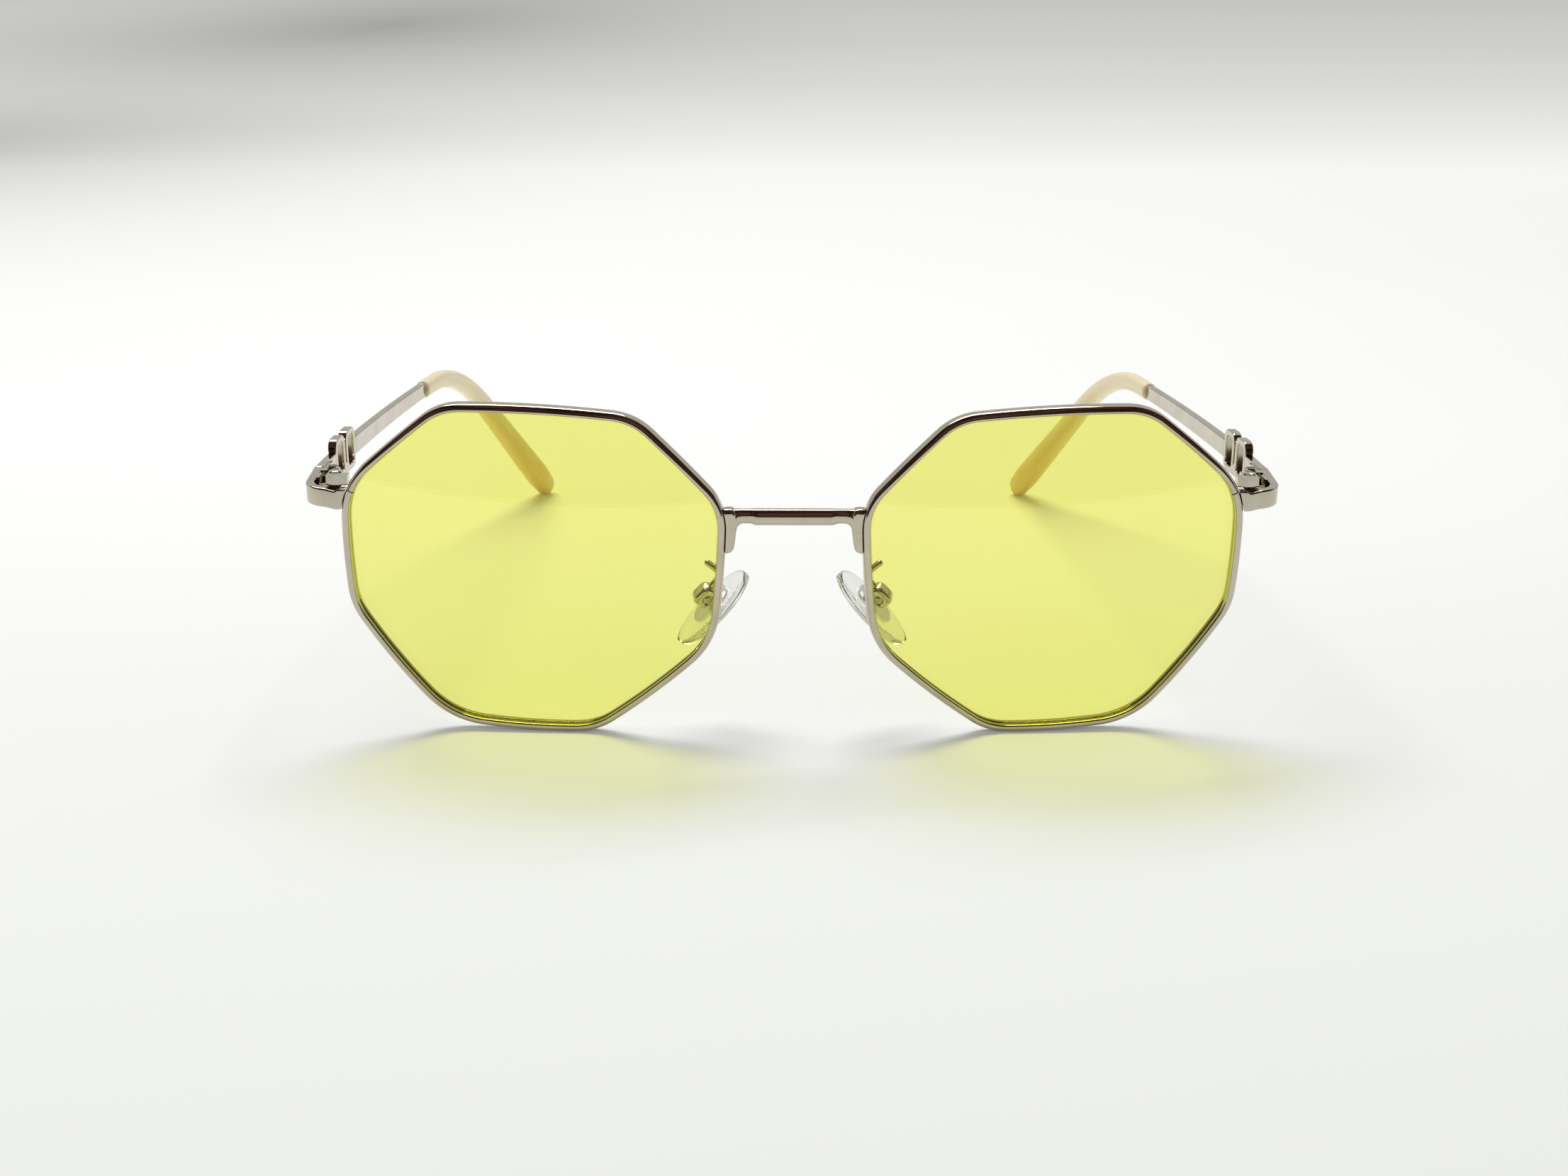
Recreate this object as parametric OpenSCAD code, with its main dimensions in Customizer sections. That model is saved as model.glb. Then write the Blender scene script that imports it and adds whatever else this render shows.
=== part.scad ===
// Metal sunglasses with eight-sided rims, standing open on a table.
// X runs to the viewer's right, Y runs back along the temples, Z is up, and X = 0 is the mirror plane.

/* [Rims] */
// Distance between the two lens centres
lens_spacing = 74.8; // [72:0.1:80]
// Width of one rim over its outer edges
rim_width = 55.3; // [51:0.1:58]
// Height of one rim over its outer edges
rim_height = 50.2; // [46:0.1:54]
// Length of the top side that lies on the nose side of the lens centre
top_inner = 14.9; // [12:0.1:17]
// Length of the top side that lies on the temple side of the lens centre
top_outer = 12.8; // [10:0.1:16]
// Length of the bottom side that lies on the nose side of the lens centre
bottom_inner = 8.3; // [6:0.1:12]
// Length of the bottom side that lies on the temple side of the lens centre
bottom_outer = 14; // [10:0.1:16]
// Height of the upper nose corner above the lens centre
nose_rise = 10.8; // [8:0.1:13]
// Depth of the lower nose corner below the lens centre
nose_drop = 10.5; // [8:0.1:13]
// Height of the upper temple corner above the lens centre
temple_rise = 12.4; // [10:0.1:14]
// Depth of the lower temple corner below the lens centre
temple_drop = 5.9; // [4:0.1:9]
// How far the top and bottom sides fall towards the nose
side_fall = 1; // [0:0.1:2]
// How far the lower nose corner is set in from the upper one
nose_tuck = 1.7; // [0:0.1:3]
// Radius of the three soft corners
soft_corner_r = 11.2; // [7:0.1:13]
// Radius of the five tighter corners
tight_corner_r = 8.2; // [5:0.1:10]
// Radius of the slight bow of each side
side_bow_r = 140; // [90:5:300]
// Thickness of the rim wire as seen from the front
rim_wall = 1.15; // [1:0.05:1.5]
// Thickness of the rim wire from front to back
rim_depth = 2; // [1.8:0.05:2.6]
// Depth of the groove that holds the lens
groove_depth = 0.55; // [0.4:0.05:0.65]
// Lean of the front, with its top towards the viewer
front_lean = 4; // [0:0.5:8]
// Turn of each rim towards the temples
front_wrap = 4; // [0:0.5:6]

/* [Lenses] */
// Radius of the lens curve
lens_r = 130; // [90:1:260]
// Thickness of a lens
lens_thick = 1.8; // [1.4:0.05:2]
// Gap between a lens and its rim
lens_gap = 0.05; // [0.03:0.01:0.1]

/* [Bridge] */
// Height of the bridge above the lens centres
bridge_rise = 9.25; // [7:0.05:11]
// Height of the bar
bridge_bar_h = 2.4; // [2:0.1:3.2]
// Thickness of the bar from front to back
bridge_bar_d = 1.8; // [1.4:0.1:2.2]
// Length of the thicker middle of the bar
bridge_mid_len = 11.6; // [9:0.1:13]
// How much lower the necks beside the middle are
bridge_step = 0.3; // [0.1:0.05:0.6]
// Length of each foot along the rim
bridge_foot_len = 6.5; // [5:0.1:8]
// Thickness of each foot at its top
bridge_foot_w = 1.6; // [1.2:0.05:2]
// Reach of the round fillet under each end of the bar
bridge_fillet = 0.9; // [0.4:0.1:1.4]

/* [Endpieces and hinges] */
// Width over both endpieces
frame_width = 140.4; // [138:0.1:146]
// Height of the endpieces above the lens centres, where they leave the rims
endpiece_rise = 10.6; // [10:0.05:11.4]
// Climb of the endpiece strip from the rim round its corner
strip_front_climb = 0.75; // [0:0.05:1.2]
// Climb of the endpiece strip from its corner to the seam
strip_arm_climb = 0.45; // [0:0.05:0.8]
// Height of the endpiece strip
strip_h = 2.8; // [2.4:0.1:3.2]
// Thickness of the endpiece strip and the temple bar
strip_t = 1.3; // [0.9:0.05:1.5]
// Radius of the endpiece corner at the middle of the strip
strip_corner_r = 2.5; // [1.4:0.1:3]
// Distance from the front of the strip to the seam at the temple
endpiece_len = 8.6; // [8.2:0.1:11]
// Outer radius of the hinge barrel
barrel_r = 1.1; // [1:0.05:1.2]
// Diameter of the hinge screw shank
hinge_pin_d = 0.9; // [0.7:0.05:1.1]
// Diameter of the hinge screw head
hinge_head_d = 1.7; // [1.4:0.05:2]
// Thickness of the hinge leaves
leaf_t = 0.4; // [0.3:0.05:0.5]
// Length of a hinge leaf along the strip
leaf_len = 4.2; // [3:0.1:4.5]
// Gap between turning hinge parts
turn_gap = 0.05; // [0.03:0.01:0.1]

/* [Rim locks] */
// Width of the lock block
lock_w = 2.1; // [2:0.1:2.6]
// Depth of the lock block from front to back
lock_d = 3.2; // [2.6:0.1:3.6]
// Height of the upper half of the lock
lock_upper_h = 1.4; // [1.2:0.1:1.8]
// Gap between the halves of the lock and the ends of the rim
lock_gap = 0.2; // [0.1:0.05:0.4]
// Diameter of the lock screw shank
lock_pin_d = 1; // [0.8:0.05:1.2]
// Diameter of the lock screw head
lock_head_d = 1.6; // [1.4:0.1:1.7]
// Height of all small screw heads
head_h = 0.45; // [0.3:0.05:0.6]

/* [Temples] */
// Length from the hinge seam to the collar of the tip
bar_len = 62; // [56:0.2:74]
// Height of the bar behind the ornament
bar_h = 2.9; // [2.6:0.1:3.8]
// Height of the bar at the collar
bar_end_h = 2.5; // [2.2:0.1:2.8]
// Inward slant of the temple at the hinge
temple_toe_in = 1.6; // [0.5:0.1:4]
// How much the temple turns inwards from the hinge to the bend
temple_bow = 6.3; // [2:0.1:9]
// Downward slant of the temple
temple_fall = 1.6; // [0.5:0.1:4.5]
// Length of the full-height stub in front of the ornament
stub_len = 7.9; // [6.4:0.1:9]
// Height of the rail under the ornament
rail_h = 1; // [0.8:0.05:1.3]
// How far the rail lies below the bar
rail_sink = 1.65; // [1.3:0.05:2]
// Height of the front link of the ornament from the underside of the rail
link_front_h = 6.5; // [5.8:0.1:7.2]
// Height of the rear link of the ornament from the underside of the rail
link_rear_h = 6.5; // [5.8:0.1:7.2]
// Width of each link
link_w = 5.3; // [4.5:0.1:6.2]
// Gap between the two links
link_parting = 0.6; // [0.3:0.1:1]
// Width of the band that forms the links
link_band = 1; // [0.8:0.05:1.3]
// Thickness of the ornament
ornament_t = 1.25; // [1:0.05:1.5]

/* [Temple tips] */
// Length from the collar to the start of the bend
tip_straight = 6.2; // [3:0.1:12]
// Radius of the bend behind the ear
tip_bend_r = 37; // [28:0.5:44]
// Slope of the tip below the bend
tip_fall = 42.2; // [36:0.2:52]
// Inward slant of the tip below the bend
tip_toe_in = 19.8; // [12:0.2:30]
// Height of the tip at the collar
tip_start_h = 3; // [2.9:0.05:3.4]
// Width of the tip at the collar
tip_start_w = 2.4; // [2:0.1:2.8]
// Height of the tip near its end
tip_end_h = 4.4; // [3.4:0.1:5]
// Width of the tip near its end
tip_end_w = 3.2; // [2.6:0.1:3.8]
// Diameter of the core wire
core_d = 1.3; // [1:0.05:1.5]
// Gap between the core wire and the tip
core_gap = 0.06; // [0.04:0.01:0.15]
// Length of the solid end of the tip behind the wire
tip_solid = 12; // [7:0.5:16]

/* [Nose pads] */
// Distance of a pad centre from the mirror plane
pad_x = 11.7; // [11:0.1:14]
// Distance of a pad centre behind the front plane
pad_y = 9; // [8:0.1:10.5]
// Height of a pad centre below the lens centre
pad_below = 7.6; // [6:0.1:9]
// Opening of the pads towards the face
pad_splay = 25; // [15:1:35]
// Spread of the pads towards their lower ends
pad_spread = 37; // [28:1:42]
// Pitch of the pads about their width
pad_pitch = 22; // [10:1:28]
// Length of a pad
pad_len = 15; // [13:0.5:17]
// Width of a pad
pad_w = 7.2; // [6:0.1:8.5]
// Thickness of a pad
pad_t = 1.5; // [1.2:0.1:2]
// Thickness of the insert plate
insert_t = 0.4; // [0.3:0.05:0.5]
// Length of the insert plate
insert_len = 7; // [6:0.2:10]
// Width of the insert plate
insert_w = 3.6; // [3:0.1:4.4]
// Width of the pad box across the screw
box_w = 2.4; // [2.1:0.1:2.8]
// Length of the pad box along the pad
box_len = 3.1; // [2.5:0.1:3.4]
// Radius of the outer corners of the pad box
box_corner_r = 0.95; // [0.3:0.05:1.05]
// Wall of the pad box
box_wall = 0.6; // [0.4:0.05:0.65]
// Diameter of the pad screw shank
pad_pin_d = 0.7; // [0.6:0.05:0.8]
// Diameter of the pad screw head
pad_head_d = 1.5; // [1.2:0.1:1.7]
// Radius of the round lug that the pad rocks on
lug_r = 0.8; // [0.75:0.05:0.9]
// Free height between the box and the pad, for the rocking
rock_gap = 0.4; // [0.3:0.05:0.6]
// Diameter of the pad arm wire
arm_d = 1; // [0.8:0.05:1.1]

/* [Hidden] */
$fn = 48;

SILVER = [0.80, 0.80, 0.79];
BRIGHT = [0.90, 0.90, 0.89];
LIME = [0.91, 0.94, 0.55, 0.45];
IVORY = [0.90, 0.86, 0.76];
CLEAR = [0.92, 0.92, 0.90, 0.5];

// Gap left for solder between pieces of the front
solder_gap = 0.03;
// Gap at the seam between the endpiece and the temple
seam_gap = 0.1;

// How far the bow of a side stands out beyond its two corners, by which those corners lie further in
top_bow = 0.5;
bottom_bow = 0.4;
temple_low_bow = 0.15;
temple_high_bow = 0.05;
corner_top = rim_height / 2 - top_bow;
corner_bottom = rim_height / 2 - bottom_bow;

// Outline of a rim: eight corners, anticlockwise from the lower nose corner, seen from the front
corners = [
  [-rim_width / 2 + nose_tuck, -nose_drop],
  [-bottom_inner, -corner_bottom - side_fall / 2],
  [bottom_outer, -corner_bottom + side_fall / 2],
  [rim_width / 2 - temple_low_bow, -temple_drop],
  [rim_width / 2 - temple_high_bow, temple_rise],
  [top_outer, corner_top + side_fall / 2],
  [-top_inner, corner_top - side_fall / 2],
  [-rim_width / 2, nose_rise]
];
corner_radii = [
  soft_corner_r, tight_corner_r, soft_corner_r, tight_corner_r,
  soft_corner_r, tight_corner_r, tight_corner_r, tight_corner_r
];
SIDES = len(corners);

function unit(v) = v / norm(v);
function mix(a, b, t) = a + (b - a) * t;
function corner(i) = corners[(i + SIDES) % SIDES];
function side_len(i) = norm(corner(i + 1) - corner(i));
// Centre of the circle that bows side i
function bow_center(i) =
  let (a = corner(i), b = corner(i + 1), d = unit(b - a), half = side_len(i) / 2)
  (a + b) / 2 - [d[1], -d[0]] * sqrt(side_bow_r * side_bow_r - half * half);
function bow_angle(i, t) =
  let (a = corner(i) - bow_center(i))
  atan2(a[1], a[0]) + 2 * asin(side_len(i) / 2 / side_bow_r) * t;
function bow_point(i, t) =
  let (g = bow_angle(i, t)) bow_center(i) + side_bow_r * [cos(g), sin(g)];
function bow_tangent(i, t) = let (g = bow_angle(i, t)) [-sin(g), cos(g)];
// Length that the rounding of corner i takes from each side that meets there
function cutback(i) =
  let (
    a = unit(corner(i) - corner(i - 1)), b = unit(corner(i + 1) - corner(i)),
    turn = acos(a * b)
  )
  corner_radii[(i + SIDES) % SIDES] * tan(turn / 2);
function cross_2d(a, b) = a[0] * b[1] - a[1] * b[0];

// A station is a point of the outline with its outward normal.
// q runs once round for 0 to 8: the first half of each step rounds a corner, the second follows a side.
function station(q) =
  let (i = floor(q) % SIDES, f = 2 * (q - floor(q)))
  f < 1 ? corner_station(i, f) : side_station(i, f - 1);
function station_of(p, tangent) = [p, [tangent[1], -tangent[0]]];
function corner_station(i, t) =
  let (
    before = (i + SIDES - 1) % SIDES,
    s = 1 - cutback(i) / side_len(before), e = cutback(i) / side_len(i),
    p = bow_point(before, s), r = bow_point(i, e),
    tp = bow_tangent(before, s), tr = bow_tangent(i, e),
    c = p + tp * cross_2d(r - p, tr) / cross_2d(tp, tr)
  )
  station_of(
    (1 - t) * (1 - t) * p + 2 * t * (1 - t) * c + t * t * r,
    unit((1 - t) * (c - p) + t * (r - c))
  );
function side_station(i, t) =
  let (
    s = cutback(i) / side_len(i), e = 1 - cutback((i + 1) % SIDES) / side_len(i),
    u = mix(s, e, t)
  )
  station_of(bow_point(i, u), bow_tangent(i, u));

// Depth of the lens curve behind its front-most point
function sag(p) = lens_r - sqrt(lens_r * lens_r - p * p);
// A section point has an outward and a rearward part; the result is [across, back, up]
function on_curve(st, s) = let (p = st[0] + st[1] * s[0]) [p[0], sag(st[0]) + s[1], p[1]];

// Section of the rim wire, clockwise from the outer front edge, with the groove for the lens
GROOVE_SLOPE = 0.62;
rim_round = 0.75;
rim_chamfer = 0.2;
groove_half = groove_depth * GROOVE_SLOPE;
half_depth = rim_depth / 2;
rim_section = [
  [0, -half_depth + rim_round], [-rim_round * 0.6, -half_depth + rim_round * 0.15],
  [-rim_wall + rim_chamfer * 1.8, -half_depth], [-rim_wall, -half_depth + rim_chamfer],
  [-rim_wall, -groove_half], [-rim_wall + groove_depth, 0], [-rim_wall, groove_half],
  [-rim_wall, half_depth - rim_chamfer], [-rim_wall + rim_chamfer, half_depth],
  [-rim_round / 2, half_depth], [0, half_depth - rim_round / 2]
];

// The rim is split in the middle of the upper temple corner
SPLIT_CORNER = 4;
split_q = SPLIT_CORNER + 0.25;
split_share = lock_gap / 4 / norm(station(split_q - 0.24)[0] - station(split_q + 0.24)[0]);
RIM_STEPS = 80;
rim_rings = [
  for (k = [0:RIM_STEPS])
    let (st = station(mix(split_q + split_share, split_q + SIDES - split_share, k / RIM_STEPS)))
    [for (s = rim_section) on_curve(st, s)]
];
// Point in the solid outer part of the wire
function rim_core(q) = on_curve(station(q), [(groove_depth - rim_wall) / 2, 0]);

// Place of a rim point once the front is turned, leaned and spaced, before it is lifted
function turned(p) =
  let (
    x = p[0] * cos(front_wrap) - p[1] * sin(front_wrap),
    y = p[0] * sin(front_wrap) + p[1] * cos(front_wrap)
  )
  [
    lens_spacing / 2 + x,
    y * cos(front_lean) - p[2] * sin(front_lean),
    y * sin(front_lean) + p[2] * cos(front_lean)
  ];
lens_z = -min([for (ring = rim_rings) for (p = ring) turned(p)[2]]);
function lifted(p) = turned(p) + [0, 0, lens_z];

// Rings of the lens, which is a curved sheet with a ridge round its edge that sits in the groove
LENS_STEPS = 64;
LENS_SHARES = [0.3, 0.6, 0.85];
lens_half = lens_thick / 2;
lens_edge = -rim_wall - lens_gap;
ridge_half = groove_half - lens_gap;
function lens_ring(inset, back, share = 1) = [
  for (k = [0:LENS_STEPS - 1])
    let (
      st = station(SIDES * k / LENS_STEPS),
      p = (st[0] + st[1] * inset) * share
    )
    [p[0], sag(share < 1 ? p : st[0]) + back, p[1]]
];
lens_front = [for (share = LENS_SHARES) lens_ring(lens_edge, -lens_half, share)];
front_y = min([for (ring = concat(rim_rings, lens_front)) for (p = ring) turned(p)[1]]);

// Outer edge of the rim at a height, on the temple side and on the nose side
function edge_point(q, back) = let (st = station(q)) lifted(on_curve(st, [0, back]));
split_point = edge_point(split_q, half_depth);
temple_edge = edge_point(SPLIT_CORNER, 0);

// Endpiece strip: its root follows the outer edge of the rim, just below the split, and it climbs to the seam
root_z = lens_z + endpiece_rise;
corner_z = root_z + strip_front_climb;
strip_z = corner_z + strip_arm_climb;
strip_x = frame_width / 2 - strip_t / 2;
strip_y = temple_edge[1] - rim_depth / 2 + strip_t / 2;
seam_y = strip_y - strip_t / 2 + endpiece_len;
strip_top = strip_z + strip_h / 2;
strip_bottom = strip_z - strip_h / 2;
root_bottom = root_z - strip_h / 2;
temple_edge_table = [
  for (k = [0:12]) let (p = edge_point(SPLIT_CORNER - 0.3 + k * 0.06, 0)) [p[2], p[0]]
];
function edge_x(z) = lookup(z, temple_edge_table);

// Hinge
hinge_x = frame_width / 2 - strip_t - solder_gap - leaf_t - turn_gap - barrel_r;
HINGE_SETBACK = 0.8;
hinge_y = seam_y - HINGE_SETBACK;
knuckle_h = (strip_h - 2 * turn_gap) / 3;
hinge_bore_r = hinge_pin_d / 2 + turn_gap;

// Rim lock
LOCK_SETBACK = 0.1;
lock_x = edge_x(root_bottom) + LOCK_SETBACK;
lock_y = strip_y + strip_t / 2 + solder_gap;
lock_axis = [lock_x + lock_w / 2, lock_y + lock_d / 2];
lock_split_z = split_point[2];
lock_top = lock_split_z + lock_gap / 2 + lock_upper_h;

// Temple centre line: a bar that bows inwards, a bend and a straight tip that ends on the table
bar_start = [strip_x, seam_y + seam_gap, strip_z];
function heading(inward, down) =
  [-sin(inward) * cos(down), cos(inward) * cos(down), -sin(down)];
bend_start_s = bar_len + tip_straight;
bow_r = bend_start_s * 180 / PI / temple_bow;
function toe_in(s) = temple_toe_in + temple_bow * s / bend_start_s;
function bar_point(s) =
  let (g = toe_in(s), run = bow_r * cos(temple_fall))
  bar_start + [
    run * (cos(g) - cos(temple_toe_in)), run * (sin(g) - sin(temple_toe_in)), -s * sin(temple_fall)
  ];
bar_dir = heading(toe_in(bend_start_s), temple_fall);
tip_dir = heading(tip_toe_in, tip_fall);
bend_start = bar_point(bend_start_s);
bend_angle = acos(bar_dir * tip_dir);
bend_side = unit(tip_dir - bar_dir * (bar_dir * tip_dir));
bend_len = PI * tip_bend_r * bend_angle / 180;
function bend_point(t) =
  bend_start + tip_bend_r * (sin(bend_angle * t) * bar_dir + (1 - cos(bend_angle * t)) * bend_side);
tip_end_r = tip_end_h / 2;
tip_run = (bend_point(1)[2] - tip_end_r) / sin(tip_fall) + tip_end_r;
path_len = bend_start_s + bend_len + tip_run;
function path_point(s) =
  s < bend_start_s ? bar_point(s) :
  s < bend_start_s + bend_len ? bend_point((s - bend_start_s) / bend_len) :
  bend_point(1) + tip_dir * (s - bend_start_s - bend_len);
function path_dir(s) =
  s < bend_start_s ? heading(toe_in(s), temple_fall) :
  let (g = bend_angle * min(1, (s - bend_start_s) / bend_len))
  unit(cos(g) * bar_dir + sin(g) * bend_side);
// Section across the path: w wide, h high, with squarer corners for a higher power
RING = 12;
BAR_SQUARENESS = 4.5;
TIP_SQUARENESS = 2.4;
function power(v, e) = sign(v) * pow(abs(v), e);
function path_ring(s, w, h, drop = 0, squareness = 2) =
  let (
    d = path_dir(s), side = unit(cross(d, [0, 0, 1])), up = cross(side, d),
    c = path_point(s) - up * drop, e = 2 / squareness
  )
  [for (k = [0:RING - 1]) let (g = 360 * k / RING)
    c + side * power(cos(g), e) * w / 2 + up * power(sin(g), e) * h / 2];

// Stations along the temple
rail_end_s = stub_len + 2 * link_w + link_parting;
LINK_R = 1.8;
link_low = -bar_h / 2 - rail_sink;
rail_top = link_low + rail_h;
// Underside of the links at a distance from their outer end, where they are rounded
function link_low_at(d) = link_low + LINK_R - sqrt(LINK_R * LINK_R - pow(max(0, LINK_R - d), 2));
wire_end_s = path_len - tip_solid;
collar_s = bar_len + 0.05;

// Outer rings of a tip: an oval tube that grows towards a round end
TIP_CAP = [15, 35, 55, 72, 84];
cap_s = path_len - tip_end_r;
function tip_share(s) = (s - collar_s) / (cap_s - collar_s);
function tip_ring(s, shrink = 1) =
  path_ring(
    s, mix(tip_start_w, tip_end_w, tip_share(s)) * shrink,
    mix(tip_start_h, tip_end_h, tip_share(s)) * shrink, 0, TIP_SQUARENESS
  );
tip_stations = concat(
  [collar_s, (collar_s + bend_start_s) / 2],
  [for (k = [0:8]) bend_start_s + bend_len * k / 8],
  [for (k = [1:4]) mix(bend_start_s + bend_len, cap_s, k / 4)]
);
tip_outer = concat(
  [for (s = tip_stations) tip_ring(s)],
  [for (g = TIP_CAP) path_ring(
    cap_s + tip_end_r * sin(g), tip_end_w * cos(g), tip_end_h * cos(g), 0, TIP_SQUARENESS)]
);
back_y = max([for (ring = tip_outer) for (p = ring) p[1]]);
mid_y = (front_y + back_y) / 2;

// Faces of a skin over rings with equal numbers of points, closed by a point at each end
module skin(rings, start, end) {
  n = len(rings[0]);
  m = len(rings);
  points = concat([for (ring = rings) for (p = ring) p], [start, end]);
  sides = [
    for (i = [0:m - 2]) for (j = [0:n - 1])
      let (a = i * n + j, b = i * n + (j + 1) % n)
      for (face = [[a, b, b + n], [a, b + n, a + n]]) face
  ];
  caps = [
    for (j = [0:n - 1])
      let (next = (j + 1) % n)
      for (face = [[m * n, next, j], [m * n + 1, (m - 1) * n + j, (m - 1) * n + next]]) face
  ];
  polyhedron(points, concat(sides, caps), convexity = 6);
}
function sum(v, i = 0) = i < len(v) ? v[i] + sum(v, i + 1) : [0, 0, 0];
function middle(ring) = sum(ring) / len(ring);
module skin_rings(rings) {
  skin(rings, middle(rings[0]), middle(rings[len(rings) - 1]));
}

// A right-hand piece is drawn as it is and a left-hand piece is its mirror image
module on_side(left) {
  translate([0, -mid_y, 0]) {
    if (left) {
      mirror([1, 0, 0]) children();
    } else {
      children();
    }
  }
}
module in_rim_pose() {
  translate([lens_spacing / 2, 0, lens_z])
    rotate([front_lean, 0, 0])
      rotate([0, 0, front_wrap])
        children();
}

module rim(left) {
  color(BRIGHT)
    on_side(left)
      in_rim_pose()
        skin(rim_rings, rim_core(split_q + split_share), rim_core(split_q + SIDES - split_share));
}

module lens(left) {
  rings = concat(
    lens_front,
    [
      lens_ring(lens_edge, -lens_half), lens_ring(lens_edge, -ridge_half),
      lens_ring(lens_edge + groove_depth - lens_gap, 0),
      lens_ring(lens_edge, ridge_half), lens_ring(lens_edge, lens_half)
    ],
    [for (k = [len(LENS_SHARES) - 1:-1:0]) lens_ring(lens_edge, lens_half, LENS_SHARES[k])]
  );
  color(LIME)
    on_side(left)
      in_rim_pose()
        skin(rings, [0, -lens_half, 0], [0, lens_half, 0]);
}

// Bridge: a bar with a thicker middle between two feet that follow the nose sides of the rims
FOOT_STEPS = 10;
NOSE_CORNER = 7;
foot_mid_q = NOSE_CORNER + 0.5;
// Outline station at a distance along the rim from the middle of the foot
REACH = 0.25;
function foot_q(d) =
  foot_mid_q + REACH * d / norm(station(foot_mid_q + REACH * (d < 0 ? -1 : 1))[0] - station(foot_mid_q)[0]);
FOOT_TAPER = 0.8;
FOOT_END = 0.06;
FOOT_ROUND = 10;
FOOT_FLAT = 0.7;
FOOT_SIDE = 0.55;
foot_d = bridge_bar_d / 2;
function foot_ring(k) =
  let (
    t = k / FOOT_STEPS, swell = sqrt(max(FOOT_END, 1 - pow(abs(2 * t - 1), FOOT_ROUND))),
    w = bridge_foot_w * mix(1, FOOT_TAPER, t) * swell, d = foot_d * mix(0.6, 1, swell)
  )
  [
    for (s = [
      [solder_gap, -d], [w * FOOT_FLAT, -d], [w, -d * FOOT_SIDE],
      [w, d * FOOT_SIDE], [w * FOOT_FLAT, d], [solder_gap, d]
    ])
      turned(on_curve(station(foot_q(bridge_foot_len * (t - 0.5))), s))
  ];
nose_line = [for (k = [0:12]) turned(on_curve(station(NOSE_CORNER + 0.95 - k * 0.06), [0, 0]))];
function nose_edge(z, i) = lookup(z, [for (p = nose_line) [p[2], p[i]]]);
bridge_z = bridge_rise * cos(front_lean);
bridge_end_x = nose_edge(bridge_z, 0) - bridge_foot_w / 2;
bridge_neck_x = bridge_mid_len / 2;
function bar_ring(x, h, d, z) = [
  for (k = [0:RING - 1])
    let (g = -360 * k / RING, e = 2 / BRIDGE_SQUARENESS)
    [x, nose_edge(bridge_z, 1) + power(cos(g), e) * d / 2, bridge_z + power(sin(g), e) * h / 2 + z]
];
BRIDGE_SQUARENESS = 2.7;
BRIDGE_SLOPE = 0.4;
neck_h = bridge_bar_h - bridge_step;
neck_d = bridge_bar_d - bridge_step;
neck_lift = bridge_step * 0.4;
function fillet_drop(t) = bridge_fillet * (1 - sqrt(1 - t * t));
bar_half = concat(
  [
    [bridge_neck_x - BRIDGE_SLOPE / 2, bridge_bar_h, bridge_bar_d, 0],
    [bridge_neck_x, mix(bridge_bar_h, neck_h, 0.4), mix(bridge_bar_d, neck_d, 0.4), neck_lift * 0.4],
    [bridge_neck_x + BRIDGE_SLOPE / 2, neck_h, neck_d, neck_lift]
  ],
  [
    for (t = [0, 0.5, 0.8, 1])
      [bridge_end_x - bridge_fillet * (1 - t), neck_h + fillet_drop(t), mix(neck_d, bridge_bar_d, t),
        neck_lift - fillet_drop(t) / 2]
  ]
);
module bridge() {
  right_rings = [for (r = bar_half) bar_ring(r[0], r[1], r[2], r[3])];
  left_rings = [
    for (k = [len(bar_half) - 1:-1:0])
      let (r = bar_half[k])
      bar_ring(-r[0], r[1], r[2], r[3])
  ];
  color(BRIGHT)
    translate([0, -mid_y, lens_z]) {
      skin_rings(concat(left_rings, right_rings));
      for (left = [0, 1]) {
        mirror([left, 0, 0]) skin_rings([for (k = [FOOT_STEPS:-1:0]) foot_ring(k)]);
      }
    }
}

// Endpiece: a strip that starts on the rim, turns a round corner and runs back to the seam
function strip_ring(c, across, h) = [
  for (k = [0:RING - 1])
    let (g = 360 * k / RING, e = 2 / BAR_SQUARENESS)
    c + across * power(cos(g), e) * strip_t / 2 + [0, 0, power(sin(g), e) * h / 2]
];
ROOT_GAP = 0.1;
SHOULDER = 0.9;
strip_root_h = lock_split_z - ROOT_GAP - root_bottom;
strip_root = [
  for (p = strip_ring([0, strip_y, root_bottom + strip_root_h / 2], [0, -1, 0], strip_root_h))
    [edge_x(p[2]) + ROOT_GAP, p[1], p[2]]
];
STRIP_TURN = 8;
strip_turn_center = [strip_x - strip_corner_r, strip_y + strip_corner_r, 0];
strip_rings = concat(
  [strip_root, strip_ring([edge_x(root_bottom) + SHOULDER, strip_y, root_z], [0, -1, 0], strip_h)],
  [
    for (k = [0:STRIP_TURN])
      let (
        t = k / STRIP_TURN, out = [sin(90 * t), -cos(90 * t), 0],
        z = mix(root_z, corner_z, 0.5 + t / 2)
      )
      strip_ring(strip_turn_center + strip_corner_r * out + [0, 0, z], out, strip_h)
  ],
  [strip_ring([strip_x, seam_y, strip_z], [1, 0, 0], strip_h)]
);
module endpiece(left) {
  color(BRIGHT) on_side(left) skin_rings(strip_rings);
}

// Small screw that points down from a round slotted head; z = 0 is the seat of the head
SCREW_LIFT = 0.02;
module screw(pin_d, head_d, pin_len) {
  color(SILVER)
    difference() {
      union() {
        translate([0, 0, -pin_len]) cylinder(d = pin_d, h = pin_len);
        cylinder(d = head_d, h = head_h * 0.5);
        translate([0, 0, head_h * 0.5]) cylinder(d1 = head_d, d2 = head_d * 0.75, h = head_h * 0.5);
      }
      translate([-head_d, -head_d * 0.1, head_h * 0.55]) cube([2 * head_d, head_d * 0.2, head_h]);
    }
}

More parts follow.
